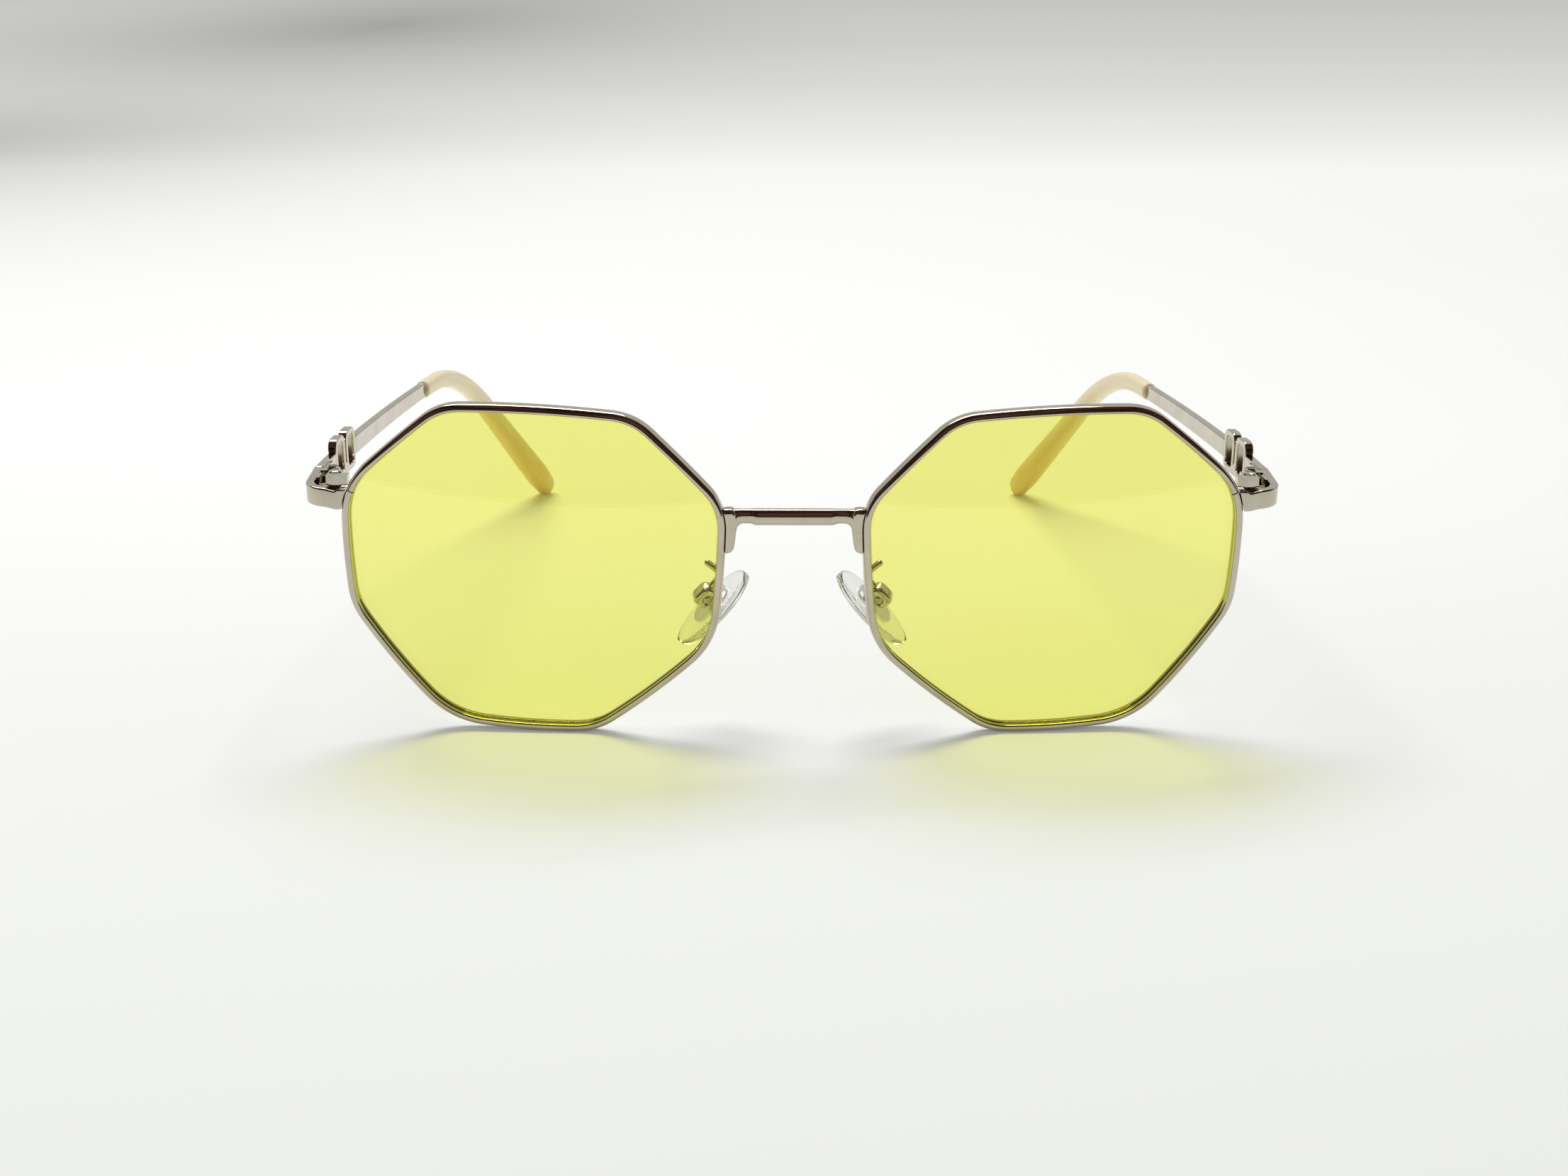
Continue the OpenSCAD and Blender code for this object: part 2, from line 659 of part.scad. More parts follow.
// Rim lock: two blocks on the ends of the rim, drawn together by a screw from above
LOCK_PLAY = 0.05;
LOCK_SKIN = 0.4;
lock_floor = root_bottom + LOCK_SETBACK;
lock_seat = lock_top - head_h - LOCK_PLAY;
module rim_lock_lower(left) {
  h = lock_split_z - lock_gap / 2 - lock_floor;
  color(SILVER)
    on_side(left)
      difference() {
        translate([lock_x, lock_y, lock_floor]) cube([lock_w, lock_d, h]);
        translate([lock_axis[0], lock_axis[1], lock_floor + LOCK_SKIN])
          cylinder(d = lock_pin_d + LOCK_PLAY, h = h);
      }
}
module rim_lock_upper(left) {
  z = lock_split_z + lock_gap / 2;
  tongue_x = edge_x(z) + LOCK_SETBACK;
  color(SILVER)
    on_side(left)
      difference() {
        union() {
          translate([lock_x, lock_y, z]) cube([lock_w, lock_d, lock_upper_h]);
          translate([tongue_x, lock_y, z]) cube([lock_x - tongue_x + LOCK_SETBACK, lock_d / 2, lock_upper_h]);
        }
        translate([lock_axis[0], lock_axis[1], z - 1])
          cylinder(d = lock_pin_d + 2 * LOCK_PLAY, h = lock_upper_h + 2);
        translate([lock_axis[0], lock_axis[1], lock_seat])
          cylinder(d = lock_head_d + 2 * LOCK_PLAY, h = lock_upper_h);
      }
}
module rim_lock_screw(left) {
  on_side(left)
    translate([lock_axis[0], lock_axis[1], lock_seat + SCREW_LIFT])
      screw(lock_pin_d, lock_head_d, lock_seat - lock_floor - LOCK_SKIN - SCREW_LIFT * 5);
}

// Hinge: two outer knuckles on the endpiece and one between them on the temple
LEAF_INSET = 0.2;
WEB_REACH = 1.9;
module knuckle(level) {
  translate([0, 0, level * (knuckle_h + turn_gap)]) cylinder(r = barrel_r, h = knuckle_h);
}
module knuckle_web(level, from_y, to_y) {
  translate([0, from_y, level * (knuckle_h + turn_gap)])
    cube([barrel_r + turn_gap + leaf_t, to_y - from_y, knuckle_h]);
}
module hinge_bore() {
  translate([0, 0, -1]) cylinder(r = hinge_bore_r, h = strip_h + 2);
}
module front_hinge_leaf(left) {
  color(SILVER)
    on_side(left)
      translate([hinge_x, hinge_y, strip_bottom])
        difference() {
          union() {
            for (level = [0, 2]) {
              knuckle(level);
              knuckle_web(level, -barrel_r, 0);
            }
            translate([barrel_r + turn_gap, -leaf_len, 0])
              cube([leaf_t, leaf_len - seam_gap, strip_h - LEAF_INSET]);
          }
          hinge_bore();
        }
}
module temple_hinge_leaf(left) {
  color(SILVER)
    on_side(left)
      difference() {
        union() {
          translate([hinge_x, hinge_y, strip_bottom]) {
            knuckle(1);
            knuckle_web(1, turn_gap, WEB_REACH);
          }
          translate([strip_x, seam_y + seam_gap, strip_bottom])
            rotate([0, 0, temple_toe_in])
              translate([-strip_t / 2 - solder_gap - leaf_t, SCREW_LIFT, LEAF_INSET / 2])
                cube([leaf_t, leaf_len, strip_h - 2 * LEAF_INSET]);
        }
        translate([hinge_x, hinge_y, strip_bottom]) hinge_bore();
      }
}
module hinge_screw(left) {
  on_side(left)
    translate([hinge_x, hinge_y, strip_top + SCREW_LIFT])
      screw(hinge_pin_d, hinge_head_d, strip_h - SCREW_LIFT * 5);
}

// Temple: a flat bar with a cradle for the ornament, drawn out into the core wire of the tip.
// The cradle is a post at each end and the rail between them: the lower outer parts of the two links.
NOTCH_SLOPE = 0.04;
BAR_STEPS = 5;
function bar_ring_at(s, h, drop = 0) = path_ring(s, strip_t, h, drop, BAR_SQUARENESS);
function span_ring(s, low, high) = bar_ring_at(s, high - low, -(low + high) / 2);
// Half of the cradle as [distance from its end, height of its upper side]
cradle = [
  [0, bar_h / 2], [link_band * 0.3, bar_h / 2], [link_band * 0.65, bar_h / 2],
  [link_band - NOTCH_SLOPE, bar_h / 2], [link_band, rail_top], [(link_band + LINK_R) / 2, rail_top],
  [LINK_R, rail_top]
];
temple_rings = concat(
  [bar_ring_at(0, strip_h)],
  [for (p = cradle) span_ring(stub_len + p[0], link_low_at(p[0]), p[1])],
  [
    for (k = [len(cradle) - 1:-1:0])
      let (p = cradle[k])
      span_ring(rail_end_s - p[0], link_low_at(p[0]), p[1])
  ],
  [
    for (k = [0:BAR_STEPS])
      let (t = k / BAR_STEPS)
      bar_ring_at(mix(rail_end_s + NOTCH_SLOPE, bar_len - NOTCH_SLOPE, t), mix(bar_h, bar_end_h, t))
  ],
  [for (s = tip_stations) if (s < wire_end_s) path_ring(s == collar_s ? bar_len : s, core_d, core_d)],
  [path_ring(wire_end_s, core_d, core_d)]
);
module temple(left) {
  color(BRIGHT) on_side(left) skin_rings(temple_rings);
}
module temple_tip(left) {
  bore_d = core_d + 2 * core_gap;
  bore_end = wire_end_s + 0.2;
  bore = concat(
    [path_ring(bore_end, bore_d, bore_d)],
    [
      for (k = [len(tip_stations) - 1:-1:0])
        if (tip_stations[k] < wire_end_s) path_ring(tip_stations[k], bore_d, bore_d)
    ]
  );
  color(IVORY) on_side(left) skin_rings(concat(bore, tip_outer));
}

module rounded_rect(w, h, r) {
  square([w, h - 2 * r], center = true);
  square([w - 2 * r, h], center = true);
  for (x = [-1, 1], y = [-1, 1]) {
    translate([x * (w / 2 - r), y * (h / 2 - r)]) circle(r);
  }
}

// Ornament: the upper and inner parts of two upright links, which stand on the cradle of the temple
LINK_WEB_H = 0.8;
module arch(w, low, high, r) {
  translate([-w / 2, low]) square([w, high - low - r]);
  translate([r - w / 2, low]) square([w - 2 * r, high - low]);
  for (x = [r - w / 2, w / 2 - r]) {
    translate([x, high - r]) circle(r);
  }
}
module link(x, h) {
  low = rail_top + solder_gap;
  translate([x, 0])
    difference() {
      arch(link_w, low, link_low + h, LINK_R);
      arch(link_w - 2 * link_band, low - 1, link_low + h - link_band, LINK_R - link_band);
    }
}
module ornament_profile() {
  length = 2 * link_w + link_parting;
  difference() {
    union() {
      link(link_w / 2, link_front_h);
      link(length - link_w / 2, link_rear_h);
      translate([link_w - link_band / 2, rail_top + solder_gap])
        square([link_parting + link_band, LINK_WEB_H]);
    }
    for (x = [-1, length - link_band - solder_gap]) {
      translate([x, link_low]) square([1 + link_band + solder_gap, bar_h / 2 + solder_gap - link_low]);
    }
  }
}
module ornament(left) {
  color(BRIGHT)
    on_side(left)
      translate(path_point(stub_len))
        rotate([-temple_fall, 0, toe_in((stub_len + rail_end_s) / 2)])
          rotate([90, 0, 90])
            linear_extrude(ornament_t, center = true) ornament_profile();
}

// Pad pose: x points away from the nose, y towards the face and z up along the pad
pad_turn = [pad_pitch, -pad_spread, -pad_splay];
pad_center = [pad_x, pad_y, lens_z - pad_below];
function about_x(v, g) = [v[0], v[1] * cos(g) - v[2] * sin(g), v[1] * sin(g) + v[2] * cos(g)];
function about_y(v, g) = [v[0] * cos(g) + v[2] * sin(g), v[1], -v[0] * sin(g) + v[2] * cos(g)];
function about_z(v, g) = [v[0] * cos(g) - v[1] * sin(g), v[0] * sin(g) + v[1] * cos(g), v[2]];
function pad_point(v) =
  pad_center + about_z(about_y(about_x(v, pad_turn[0]), pad_turn[1]), pad_turn[2]);
module in_pad_pose(left) {
  on_side(left) translate(pad_center) rotate(pad_turn) children();
}

// Heights above the middle of the pad, measured away from the nose
plate_top = pad_t / 2 + solder_gap + insert_t;
box_bottom = plate_top + rock_gap;
pin_height = box_bottom + lug_r;
box_floor = pin_height + lug_r + turn_gap;
box_top = box_floor + box_wall;
lug_w = box_w - 2 * box_wall - 2 * turn_gap;
box_end_wall = box_len / 2 - lug_r - 2 * turn_gap;
BOX_SHIFT = 1.1;
INSERT_SHIFT = 0.4;

module box_profile() {
  height = box_top - box_bottom;
  translate([box_bottom, -box_len / 2]) square([height - box_corner_r, box_len]);
  translate([box_bottom + height / 2, 0]) rounded_rect(height, box_len, box_corner_r);
}
module pad_box(left) {
  color(SILVER)
    in_pad_pose(left)
      translate([0, 0, BOX_SHIFT])
        difference() {
          rotate([90, 0, 0]) linear_extrude(box_w, center = true) box_profile();
          translate([box_bottom - 1, -lug_w / 2 - turn_gap, -box_len])
            cube([box_floor - box_bottom + 1, lug_w + 2 * turn_gap, 1.5 * box_len - box_end_wall]);
          translate([pin_height, -box_w, 0])
            rotate([-90, 0, 0])
              cylinder(d = pad_pin_d + 2 * SCREW_LIFT, h = 2 * box_w);
        }
}
module pad_screw(left) {
  in_pad_pose(left)
    translate([pin_height, -box_w / 2 - SCREW_LIFT, BOX_SHIFT])
      rotate([90, 0, 0])
        screw(pad_pin_d, pad_head_d, box_w);
}
module pad_insert(left) {
  color(SILVER)
    in_pad_pose(left)
      difference() {
        union() {
          translate([pad_t / 2 + solder_gap, 0, INSERT_SHIFT])
            rotate([90, 0, 90])
              linear_extrude(insert_t) rounded_rect(insert_w, insert_len, insert_w / 2 - 0.05);
          translate([plate_top - 0.05, -lug_w / 2, BOX_SHIFT - lug_r * 0.7])
            cube([pin_height - plate_top + 0.05, lug_w, lug_r * 1.4]);
          translate([pin_height, lug_w / 2, BOX_SHIFT]) rotate([90, 0, 0]) cylinder(r = lug_r, h = lug_w);
        }
        translate([pin_height, lug_w, BOX_SHIFT])
          rotate([90, 0, 0])
            cylinder(d = pad_pin_d + 2 * turn_gap, h = 2 * lug_w);
      }
}

// Nose pad: a soft oval cushion, flat on the side of the insert
PAD_STEPS = 14;
PAD_RING = 16;
PAD_OVALNESS = 2.3;
PAD_CROWN = 0.2;
PAD_THINNING = 0.5;
PAD_EDGE = 0.35;
function pad_ring(k) =
  let (
    z = -cos(180 * k / PAD_STEPS),
    w = pad_w / 2 * sqrt(1 - pow(abs(z), PAD_OVALNESS)),
    inner = pad_t / 2 + PAD_CROWN - PAD_THINNING * z * z,
    outer = pad_t / 2
  )
  [
    for (j = [0:PAD_RING - 1])
      let (g = 360 * j / PAD_RING, s = sin(g))
      [s > 0 ? outer * power(s, PAD_EDGE) : inner * s, -cos(g) * w, z * pad_len / 2]
  ];
module nose_pad(left) {
  rings = [for (k = [PAD_STEPS - 1:-1:1]) pad_ring(k)];
  color(CLEAR) in_pad_pose(left) skin(rings, [0, 0, pad_len / 2], [0, 0, -pad_len / 2]);
}

// Pad arm: a wire from a stub behind the rim, back and down to the upper end of the box
ARM_STEPS = 12;
ARM_SIDES = 10;
ARM_CORNER = NOSE_CORNER + 0.755;
ARM_LEAVE = [0, 3.5, 0.4];
ARM_ARRIVE = 2;
ARM_SEAT = 0.2;
ARM_TAIL = 0.8;
ARM_INSET = 1.1;
arm_root = edge_point(ARM_CORNER, half_depth) + [ARM_INSET, arm_d / 2 + seam_gap / 2, 0];
arm_stub = [1.35, 0.1, 1.05];
arm_seat = (box_bottom + box_top) / 2 + ARM_SEAT;
arm_end = pad_point([arm_seat, 0, BOX_SHIFT + box_len / 2 + solder_gap]);
arm_top = pad_point([arm_seat, 0, BOX_SHIFT + box_len / 2 + ARM_TAIL]);
arm_rise = unit(arm_top - arm_end);
function curve(a, b, c, d, t) =
  pow(1 - t, 3) * a + 3 * t * pow(1 - t, 2) * b + 3 * t * t * (1 - t) * c + t * t * t * d;
arm_points = concat(
  [for (k = [0:ARM_STEPS]) curve(
    arm_root, arm_root + ARM_LEAVE, arm_top + arm_rise * ARM_ARRIVE, arm_top, k / ARM_STEPS)],
  [arm_end]
);
function arm_ring(k) =
  let (
    last = len(arm_points) - 1,
    d = unit(arm_points[min(k + 1, last)] - arm_points[max(k - 1, 0)]),
    u = unit(cross(d, [1, 0, 0])), v = cross(d, u)
  )
  [
    for (j = [0:ARM_SIDES - 1])
      let (g = 360 * j / ARM_SIDES)
      arm_points[k] + arm_d / 2 * (u * cos(g) + v * sin(g))
  ];
module pad_arm(left) {
  color(SILVER)
    on_side(left) {
      skin_rings([for (k = [len(arm_points) - 1:-1:0]) arm_ring(k)]);
      hull() {
        translate(arm_root) sphere(d = arm_d, $fn = 16);
        translate(arm_root + arm_stub) sphere(d = arm_d, $fn = 16);
      }
    }
}

bridge();
rim(true);  // rim_left
rim(false);  // rim_right
lens(true);  // lens_left
lens(false);  // lens_right
endpiece(true);  // endpiece_left
endpiece(false);  // endpiece_right
rim_lock_lower(true);  // rim_lock_lower_left
rim_lock_lower(false);  // rim_lock_lower_right
rim_lock_upper(true);  // rim_lock_upper_left
rim_lock_upper(false);  // rim_lock_upper_right
rim_lock_screw(true);  // rim_lock_screw_left
rim_lock_screw(false);  // rim_lock_screw_right
front_hinge_leaf(true);  // front_hinge_leaf_left
front_hinge_leaf(false);  // front_hinge_leaf_right
hinge_screw(true);  // hinge_screw_left
hinge_screw(false);  // hinge_screw_right
temple_hinge_leaf(true);  // temple_hinge_leaf_left
temple_hinge_leaf(false);  // temple_hinge_leaf_right
temple(true);  // temple_left
temple(false);  // temple_right
temple_tip(true);  // temple_tip_left
temple_tip(false);  // temple_tip_right
ornament(true);  // ornament_left
ornament(false);  // ornament_right
pad_arm(true);  // pad_arm_left
pad_arm(false);  // pad_arm_right
pad_box(true);  // pad_box_left
pad_box(false);  // pad_box_right
pad_screw(true);  // pad_screw_left
pad_screw(false);  // pad_screw_right
nose_pad(true);  // nose_pad_left
nose_pad(false);  // nose_pad_right
pad_insert(true);  // pad_insert_left
pad_insert(false);  // pad_insert_right
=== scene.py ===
"""Metal sunglasses with eight-sided rims, standing open on a pale table.

Lengths are millimetres in the frame of the part's source, where the front is near Y = 0. point() turns them
into metres in the row frame, whose Y = 0 is the middle of the object. Each piece is drawn for the right-hand
side, at +X, and piece() mirrors it for the left. Materials and the stage are in metres.
"""
import math

import bpy
from mathutils import Matrix, Vector
from mathutils.geometry import tessellate_polygon


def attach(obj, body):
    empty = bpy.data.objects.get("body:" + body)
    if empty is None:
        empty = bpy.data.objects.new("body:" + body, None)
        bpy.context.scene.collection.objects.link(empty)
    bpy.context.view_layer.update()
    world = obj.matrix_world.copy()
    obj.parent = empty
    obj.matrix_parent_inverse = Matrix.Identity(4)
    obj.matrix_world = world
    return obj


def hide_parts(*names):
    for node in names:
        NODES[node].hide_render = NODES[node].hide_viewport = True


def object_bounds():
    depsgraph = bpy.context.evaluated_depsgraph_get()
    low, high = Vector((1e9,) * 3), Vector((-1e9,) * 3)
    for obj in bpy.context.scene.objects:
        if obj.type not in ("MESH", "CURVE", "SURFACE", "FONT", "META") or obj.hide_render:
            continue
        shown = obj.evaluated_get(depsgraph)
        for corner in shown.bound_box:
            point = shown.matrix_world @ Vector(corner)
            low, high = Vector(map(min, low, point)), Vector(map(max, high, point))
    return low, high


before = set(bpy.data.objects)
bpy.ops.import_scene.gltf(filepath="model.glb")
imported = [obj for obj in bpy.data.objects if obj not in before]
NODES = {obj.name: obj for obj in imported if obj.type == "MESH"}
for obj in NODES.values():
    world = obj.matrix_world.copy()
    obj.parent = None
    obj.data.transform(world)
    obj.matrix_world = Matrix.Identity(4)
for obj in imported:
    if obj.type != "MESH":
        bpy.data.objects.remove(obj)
CAD_BOX = [list(corner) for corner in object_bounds()]
SIDES = ("left", "right")

# Driving sizes, as in the part's source
LENS_SPACING, RIM_W, RIM_H = 74.8, 55.3, 50.2
TOP_INNER, TOP_OUTER, BOTTOM_INNER, BOTTOM_OUTER = 14.9, 12.8, 8.3, 14.0
NOSE_RISE, NOSE_DROP, TEMPLE_RISE, TEMPLE_DROP = 10.8, 10.5, 12.4, 5.9
SIDE_FALL, NOSE_TUCK = 1.0, 1.7
SOFT_R, TIGHT_R, BOW_R = 11.2, 8.2, 140.0
RIM_WALL, RIM_DEPTH, GROOVE = 1.15, 2.0, 0.55
LEAN, WRAP = math.radians(4), math.radians(4)
LENS_R, LENS_T, LENS_GAP = 130.0, 1.8, 0.05
STRIP_T, STRIP_H = 1.3, 2.8
SOLDER_GAP, SEAM_GAP = 0.03, 0.1

# Row frame: the rims' foremost Y in the source's frame gives where its middle lies
FRONT_Y = -1.49062
MID_Y = FRONT_Y - CAD_BOX[0][1] * 1000
# Height of the middle of the lenses above the table
LENS_Z = 25.0827


def point(p):
    """Metres in the row frame from millimetres in the source's frame."""
    return Vector((p[0], p[1] - MID_Y, p[2])) / 1000


def mix(a, b, t):
    return a + (b - a) * t


def spaced(a, b, count):
    """Values from a to b in count even steps."""
    return [mix(a, b, k / count) for k in range(count + 1)]


def turns(count):
    """Angles of count even steps once round."""
    return [math.tau * k / count for k in range(count)]


def ease(t):
    """Smooth step from 0 to 1."""
    t = min(1, max(0, t))
    return t * t * (3 - 2 * t)


def power(v, e):
    """Power of the size of v, with the sign of v."""
    return math.copysign(abs(v) ** e, v)


def table_value(table, key):
    """Linear look-up in a table of (key, value) that may run up or down."""
    table = sorted(table)
    for (k0, v0), (k1, v1) in zip(table, table[1:]):
        if key <= k1 or (k1, v1) == table[-1]:
            return mix(v0, v1, (key - k0) / (k1 - k0))


def add_object(name, data):
    obj = bpy.data.objects.new(name, data)
    bpy.context.scene.collection.objects.link(obj)
    return obj


# Shader nodes: most helpers make one node and return its output socket


def material(name, build):
    """A node material whose Principled shader is set and wired by build(nodes, links, shader)."""
    mat = bpy.data.materials.new(name)
    mat.use_nodes = True
    tree = mat.node_tree
    build(tree.nodes, tree.links, tree.nodes["Principled BSDF"])
    return mat


def set_inputs(node, values):
    for name, value in values.items():
        node.inputs[name].default_value = value


def noise(nodes, links, scale, detail):
    """Noise in object coordinates, with scale in cycles per metre."""
    place = nodes.new("ShaderNodeTexCoord")
    texture = nodes.new("ShaderNodeTexNoise")
    set_inputs(texture, {"Scale": scale, "Detail": detail})
    links.new(place.outputs["Object"], texture.inputs["Vector"])
    return texture.outputs["Fac"]


def ramp(nodes, links, value, stops):
    """Colour for a value, from stops as (position, colour)."""
    node = nodes.new("ShaderNodeValToRGB")
    elements = node.color_ramp.elements
    for k, (position, colour) in enumerate(stops):
        element = elements[k] if k < 2 else elements.new(position)
        element.position = position
        element.color = (*colour, 1)
    links.new(value, node.inputs["Fac"])
    return node.outputs["Color"]


def axis(nodes, links, place, name):
    split = nodes.new("ShaderNodeSeparateXYZ")
    links.new(place, split.inputs["Vector"])
    return split.outputs[name]


def map_range(nodes, links, value, low, high, start=0, end=1):
    """Value that goes from low to high while the one read goes from start to end."""
    node = nodes.new("ShaderNodeMapRange")
    set_inputs(node, {"From Min": start, "From Max": end, "To Min": low, "To Max": high})
    links.new(value, node.inputs["Value"])
    return node.outputs["Result"]


def combine(nodes, links, operation, a, b):
    """Math node on a socket and a second socket or a number."""
    node = nodes.new("ShaderNodeMath")
    node.operation = operation
    links.new(a, node.inputs[0])
    if isinstance(b, bpy.types.NodeSocket):
        links.new(b, node.inputs[1])
    else:
        node.inputs[1].default_value = b
    return node.outputs["Value"]


def slant(nodes, blend):
    """0 where a face is met straight on, to 1 where it is met edge-on."""
    node = nodes.new("ShaderNodeLayerWeight")
    set_inputs(node, {"Blend": blend})
    return node.outputs["Facing"]


def bump(nodes, links, shader, height, strength, distance):
    node = nodes.new("ShaderNodeBump")
    set_inputs(node, {"Strength": strength, "Distance": distance})
    links.new(height, node.inputs["Height"])
    links.new(node.outputs["Normal"], shader.inputs["Normal"])


def mixed_surface(nodes, links, share, first, second):
    """Gives the material a share of the second shader and the rest of the first."""
    join = nodes.new("ShaderNodeMixShader")
    links.new(share, join.inputs["Fac"])
    links.new(first, join.inputs[1])
    links.new(second, join.inputs[2])
    links.new(join.outputs["Shader"], nodes["Material Output"].inputs["Surface"])


# Noise scales of plated metal, for its tone, its wear and its grain, and the depth of the grain
TONE_SCALE, WEAR_SCALE, GRAIN_SCALE, GRAIN_DEPTH = 220, 900, 2600, 0.00002
# What one face of the lens lets through; light meets two faces
TINT_LIGHT, TINT_DEEP = (0.955, 0.957, 0.52), (0.94, 0.948, 0.505)
# Share that a lens face mirrors straight on, and how steeply it grows with the slant
LENS_MIRROR, MIRROR_POWER = 0.04, 5
# Heights between which the tips go from honey to ivory, and how much milk covers the core wire
TIP_LOW_Z, TIP_HIGH_Z, TIP_PATCHES = 0.004, 0.034, 0.2
TIP_HONEY, TIP_IVORY = (0.86, 0.64, 0.24), (0.95, 0.82, 0.54)
TIP_COVER_MID, TIP_COVER_EDGE = 0.68, 0.96


def metal(smooth, worn, dark, light, grain):
    """Plated metal: slight changes of tone and of roughness, and a grain in the surface."""

    def build(nodes, links, shader):
        set_inputs(shader, {"Metallic": 1})
        tone = ramp(nodes, links, noise(nodes, links, TONE_SCALE, 3), [(0.35, dark), (0.65, light)])
        links.new(tone, shader.inputs["Base Color"])
        wear = map_range(nodes, links, noise(nodes, links, WEAR_SCALE, 5), smooth, worn)
        links.new(wear, shader.inputs["Roughness"])
        bump(nodes, links, shader, noise(nodes, links, GRAIN_SCALE, 2), grain, GRAIN_DEPTH)

    return build


def tinted_lens(nodes, links, shader):
    """A clear lens: light passes through and takes the tint, and a little is mirrored at the face."""
    set_inputs(shader, {"Base Color": (0.9, 0.93, 0.45, 1), "Metallic": 0, "Roughness": 0.03})
    tint = ramp(nodes, links, noise(nodes, links, 14, 1), [(0.3, TINT_DEEP), (0.7, TINT_LIGHT)])
    clear = nodes.new("ShaderNodeBsdfTransparent")
    links.new(tint, clear.inputs["Color"])
    gloss = nodes.new("ShaderNodeBsdfGlossy")
    set_inputs(gloss, {"Roughness": 0.02})
    # The mirrored share is the same from both sides of a face, so steep light gets through to the table
    steep = combine(nodes, links, "POWER", slant(nodes, 0.5), MIRROR_POWER)
    mirrored = map_range(nodes, links, steep, LENS_MIRROR, 1)
    mixed_surface(nodes, links, mirrored, clear.outputs["BSDF"], gloss.outputs["BSDF"])


def ivory_tip(nodes, links, shader):
    """Milky acetate round the core wire: paler high up, and clearer in the middle than at its edges."""
    z = axis(nodes, links, nodes.new("ShaderNodeTexCoord").outputs["Object"], "Z")
    height = map_range(nodes, links, z, 0, 1, TIP_LOW_Z, TIP_HIGH_Z)
    patches = map_range(nodes, links, noise(nodes, links, 160, 2), -TIP_PATCHES, TIP_PATCHES)
    where = combine(nodes, links, "ADD", height, patches)
    links.new(ramp(nodes, links, where, [(0.1, TIP_HONEY), (0.9, TIP_IVORY)]), shader.inputs["Base Color"])
    set_inputs(shader, {
        "Roughness": 0.22,
        "Subsurface Weight": 0.5,
        "Subsurface Radius": (0.002, 0.0015, 0.0008),
        "Coat Weight": 0.3,
        "Coat Roughness": 0.08,
    })
    cover = map_range(nodes, links, slant(nodes, 0.4), TIP_COVER_MID, TIP_COVER_EDGE)
    links.new(cover, shader.inputs["Alpha"])
    bump(nodes, links, shader, noise(nodes, links, 400, 2), 0.08, 0.00005)


def clear_pad(nodes, links, shader):
    """Soft clear silicone, polished like glass, with a faint haze inside."""
    haze = [(0.3, (0.93, 0.94, 0.91)), (0.7, (0.99, 0.99, 0.98))]
    links.new(ramp(nodes, links, noise(nodes, links, 300, 2), haze), shader.inputs["Base Color"])
    set_inputs(shader, {"Roughness": 0.03, "Transmission Weight": 0.9, "IOR": 1.46})
    bump(nodes, links, shader, noise(nodes, links, 420, 2), 0.2, 0.0001)


BRIGHT = material("bright_plating", metal(0.05, 0.11, (0.51, 0.465, 0.375), (0.57, 0.525, 0.43), 0.05))
# Plating of the soldered parts: painted lighter than the rims' plating, as painted highlight on these small
# parts, with a little more roughness and grain
SOLDERED = material("plating_lightened", metal(0.05, 0.13, (0.55, 0.51, 0.41), (0.63, 0.59, 0.49), 0.08))
SCREW = material("turned_steel", metal(0.08, 0.18, (0.44, 0.42, 0.37), (0.56, 0.54, 0.49), 0.12))
SATIN = material("satin_steel", metal(0.26, 0.38, (0.78, 0.80, 0.82), (0.88, 0.90, 0.92), 0.1))

# Materials of the new pieces, by the record's slots
FINISHES = {
    "bright_metal": BRIGHT,
    "soldered_metal": SOLDERED,
    "screw_metal": SCREW,
    "lens_tint": material("lens_tint", tinted_lens),
    "tip_plastic": material("ivory_tip", ivory_tip),
    "pad_silicone": material("clear_pad", clear_pad),
}


# Meshes


def band(rows, n, first=0):
    """Quads between rows of n points each, which are numbered from first."""
    faces = []
    for near in range(first, first + (rows - 1) * n, n):
        far = near + n
        for j in range(n):
            k = (j + 1) % n
            faces.append((near + j, near + k, far + k, far + j))
    return faces


def closed_band(rows, n):
    """A band with a face over each end."""
    last = (rows - 1) * n
    return band(rows, n) + [tuple(range(n - 1, -1, -1)), tuple(range(last, last + n))]


def volume(points, faces):
    """Six times the volume inside closed faces, negative where they face inwards."""
    total = 0
    for face in faces:
        corners = [Vector(points[i]) for i in face]
        for a, b in zip(corners[1:], corners[2:]):
            total += corners[0].dot(a.cross(b))
    return total


def skins(*forms):
    """Points and faces of closed skins, one over each list of rings, all facing outwards."""
    points, faces = [], []
    for rings in forms:
        first = len(points)
        points += [p for ring in rings for p in ring]
        new = [tuple(first + i for i in face) for face in closed_band(len(rings), len(rings[0]))]
        faces += new if volume(points, new) > 0 else [face[::-1] for face in new]
    return points, faces


def piece(name, cad, points, faces, slot_name, body="frame", sharp=40):
    """A mesh that rides on a body and replaces CAD nodes; edges above sharp degrees stay sharp."""
    flip = -1 if name.endswith("_left") else 1
    mesh = bpy.data.meshes.new(name)
    mesh.from_pydata([point((p[0] * flip, p[1], p[2])) for p in points], [], faces)
    mesh.validate()
    if volume([v.co for v in mesh.vertices], [face.vertices for face in mesh.polygons]) < 0:
        mesh.flip_normals()
    mesh.shade_smooth()
    mesh.set_sharp_from_angle(angle=math.radians(sharp))
    mesh.materials.append(FINISHES[slot_name])
    obj = add_object(name, mesh)
    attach(obj, body)
    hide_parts(*cad)


def loft(name, cad, rings, slot_name, body="frame", sharp=40):
    """A piece with one closed skin over rings of points."""
    points = [p for ring in rings for p in ring]
    piece(name, cad, points, closed_band(len(rings), len(rings[0])), slot_name, body, sharp)


# Sections

# The most that a corner's curve takes of a side, and the radius below which a corner stays sharp
CORNER_SHARE, SHARP_BELOW = 0.7, 0.005
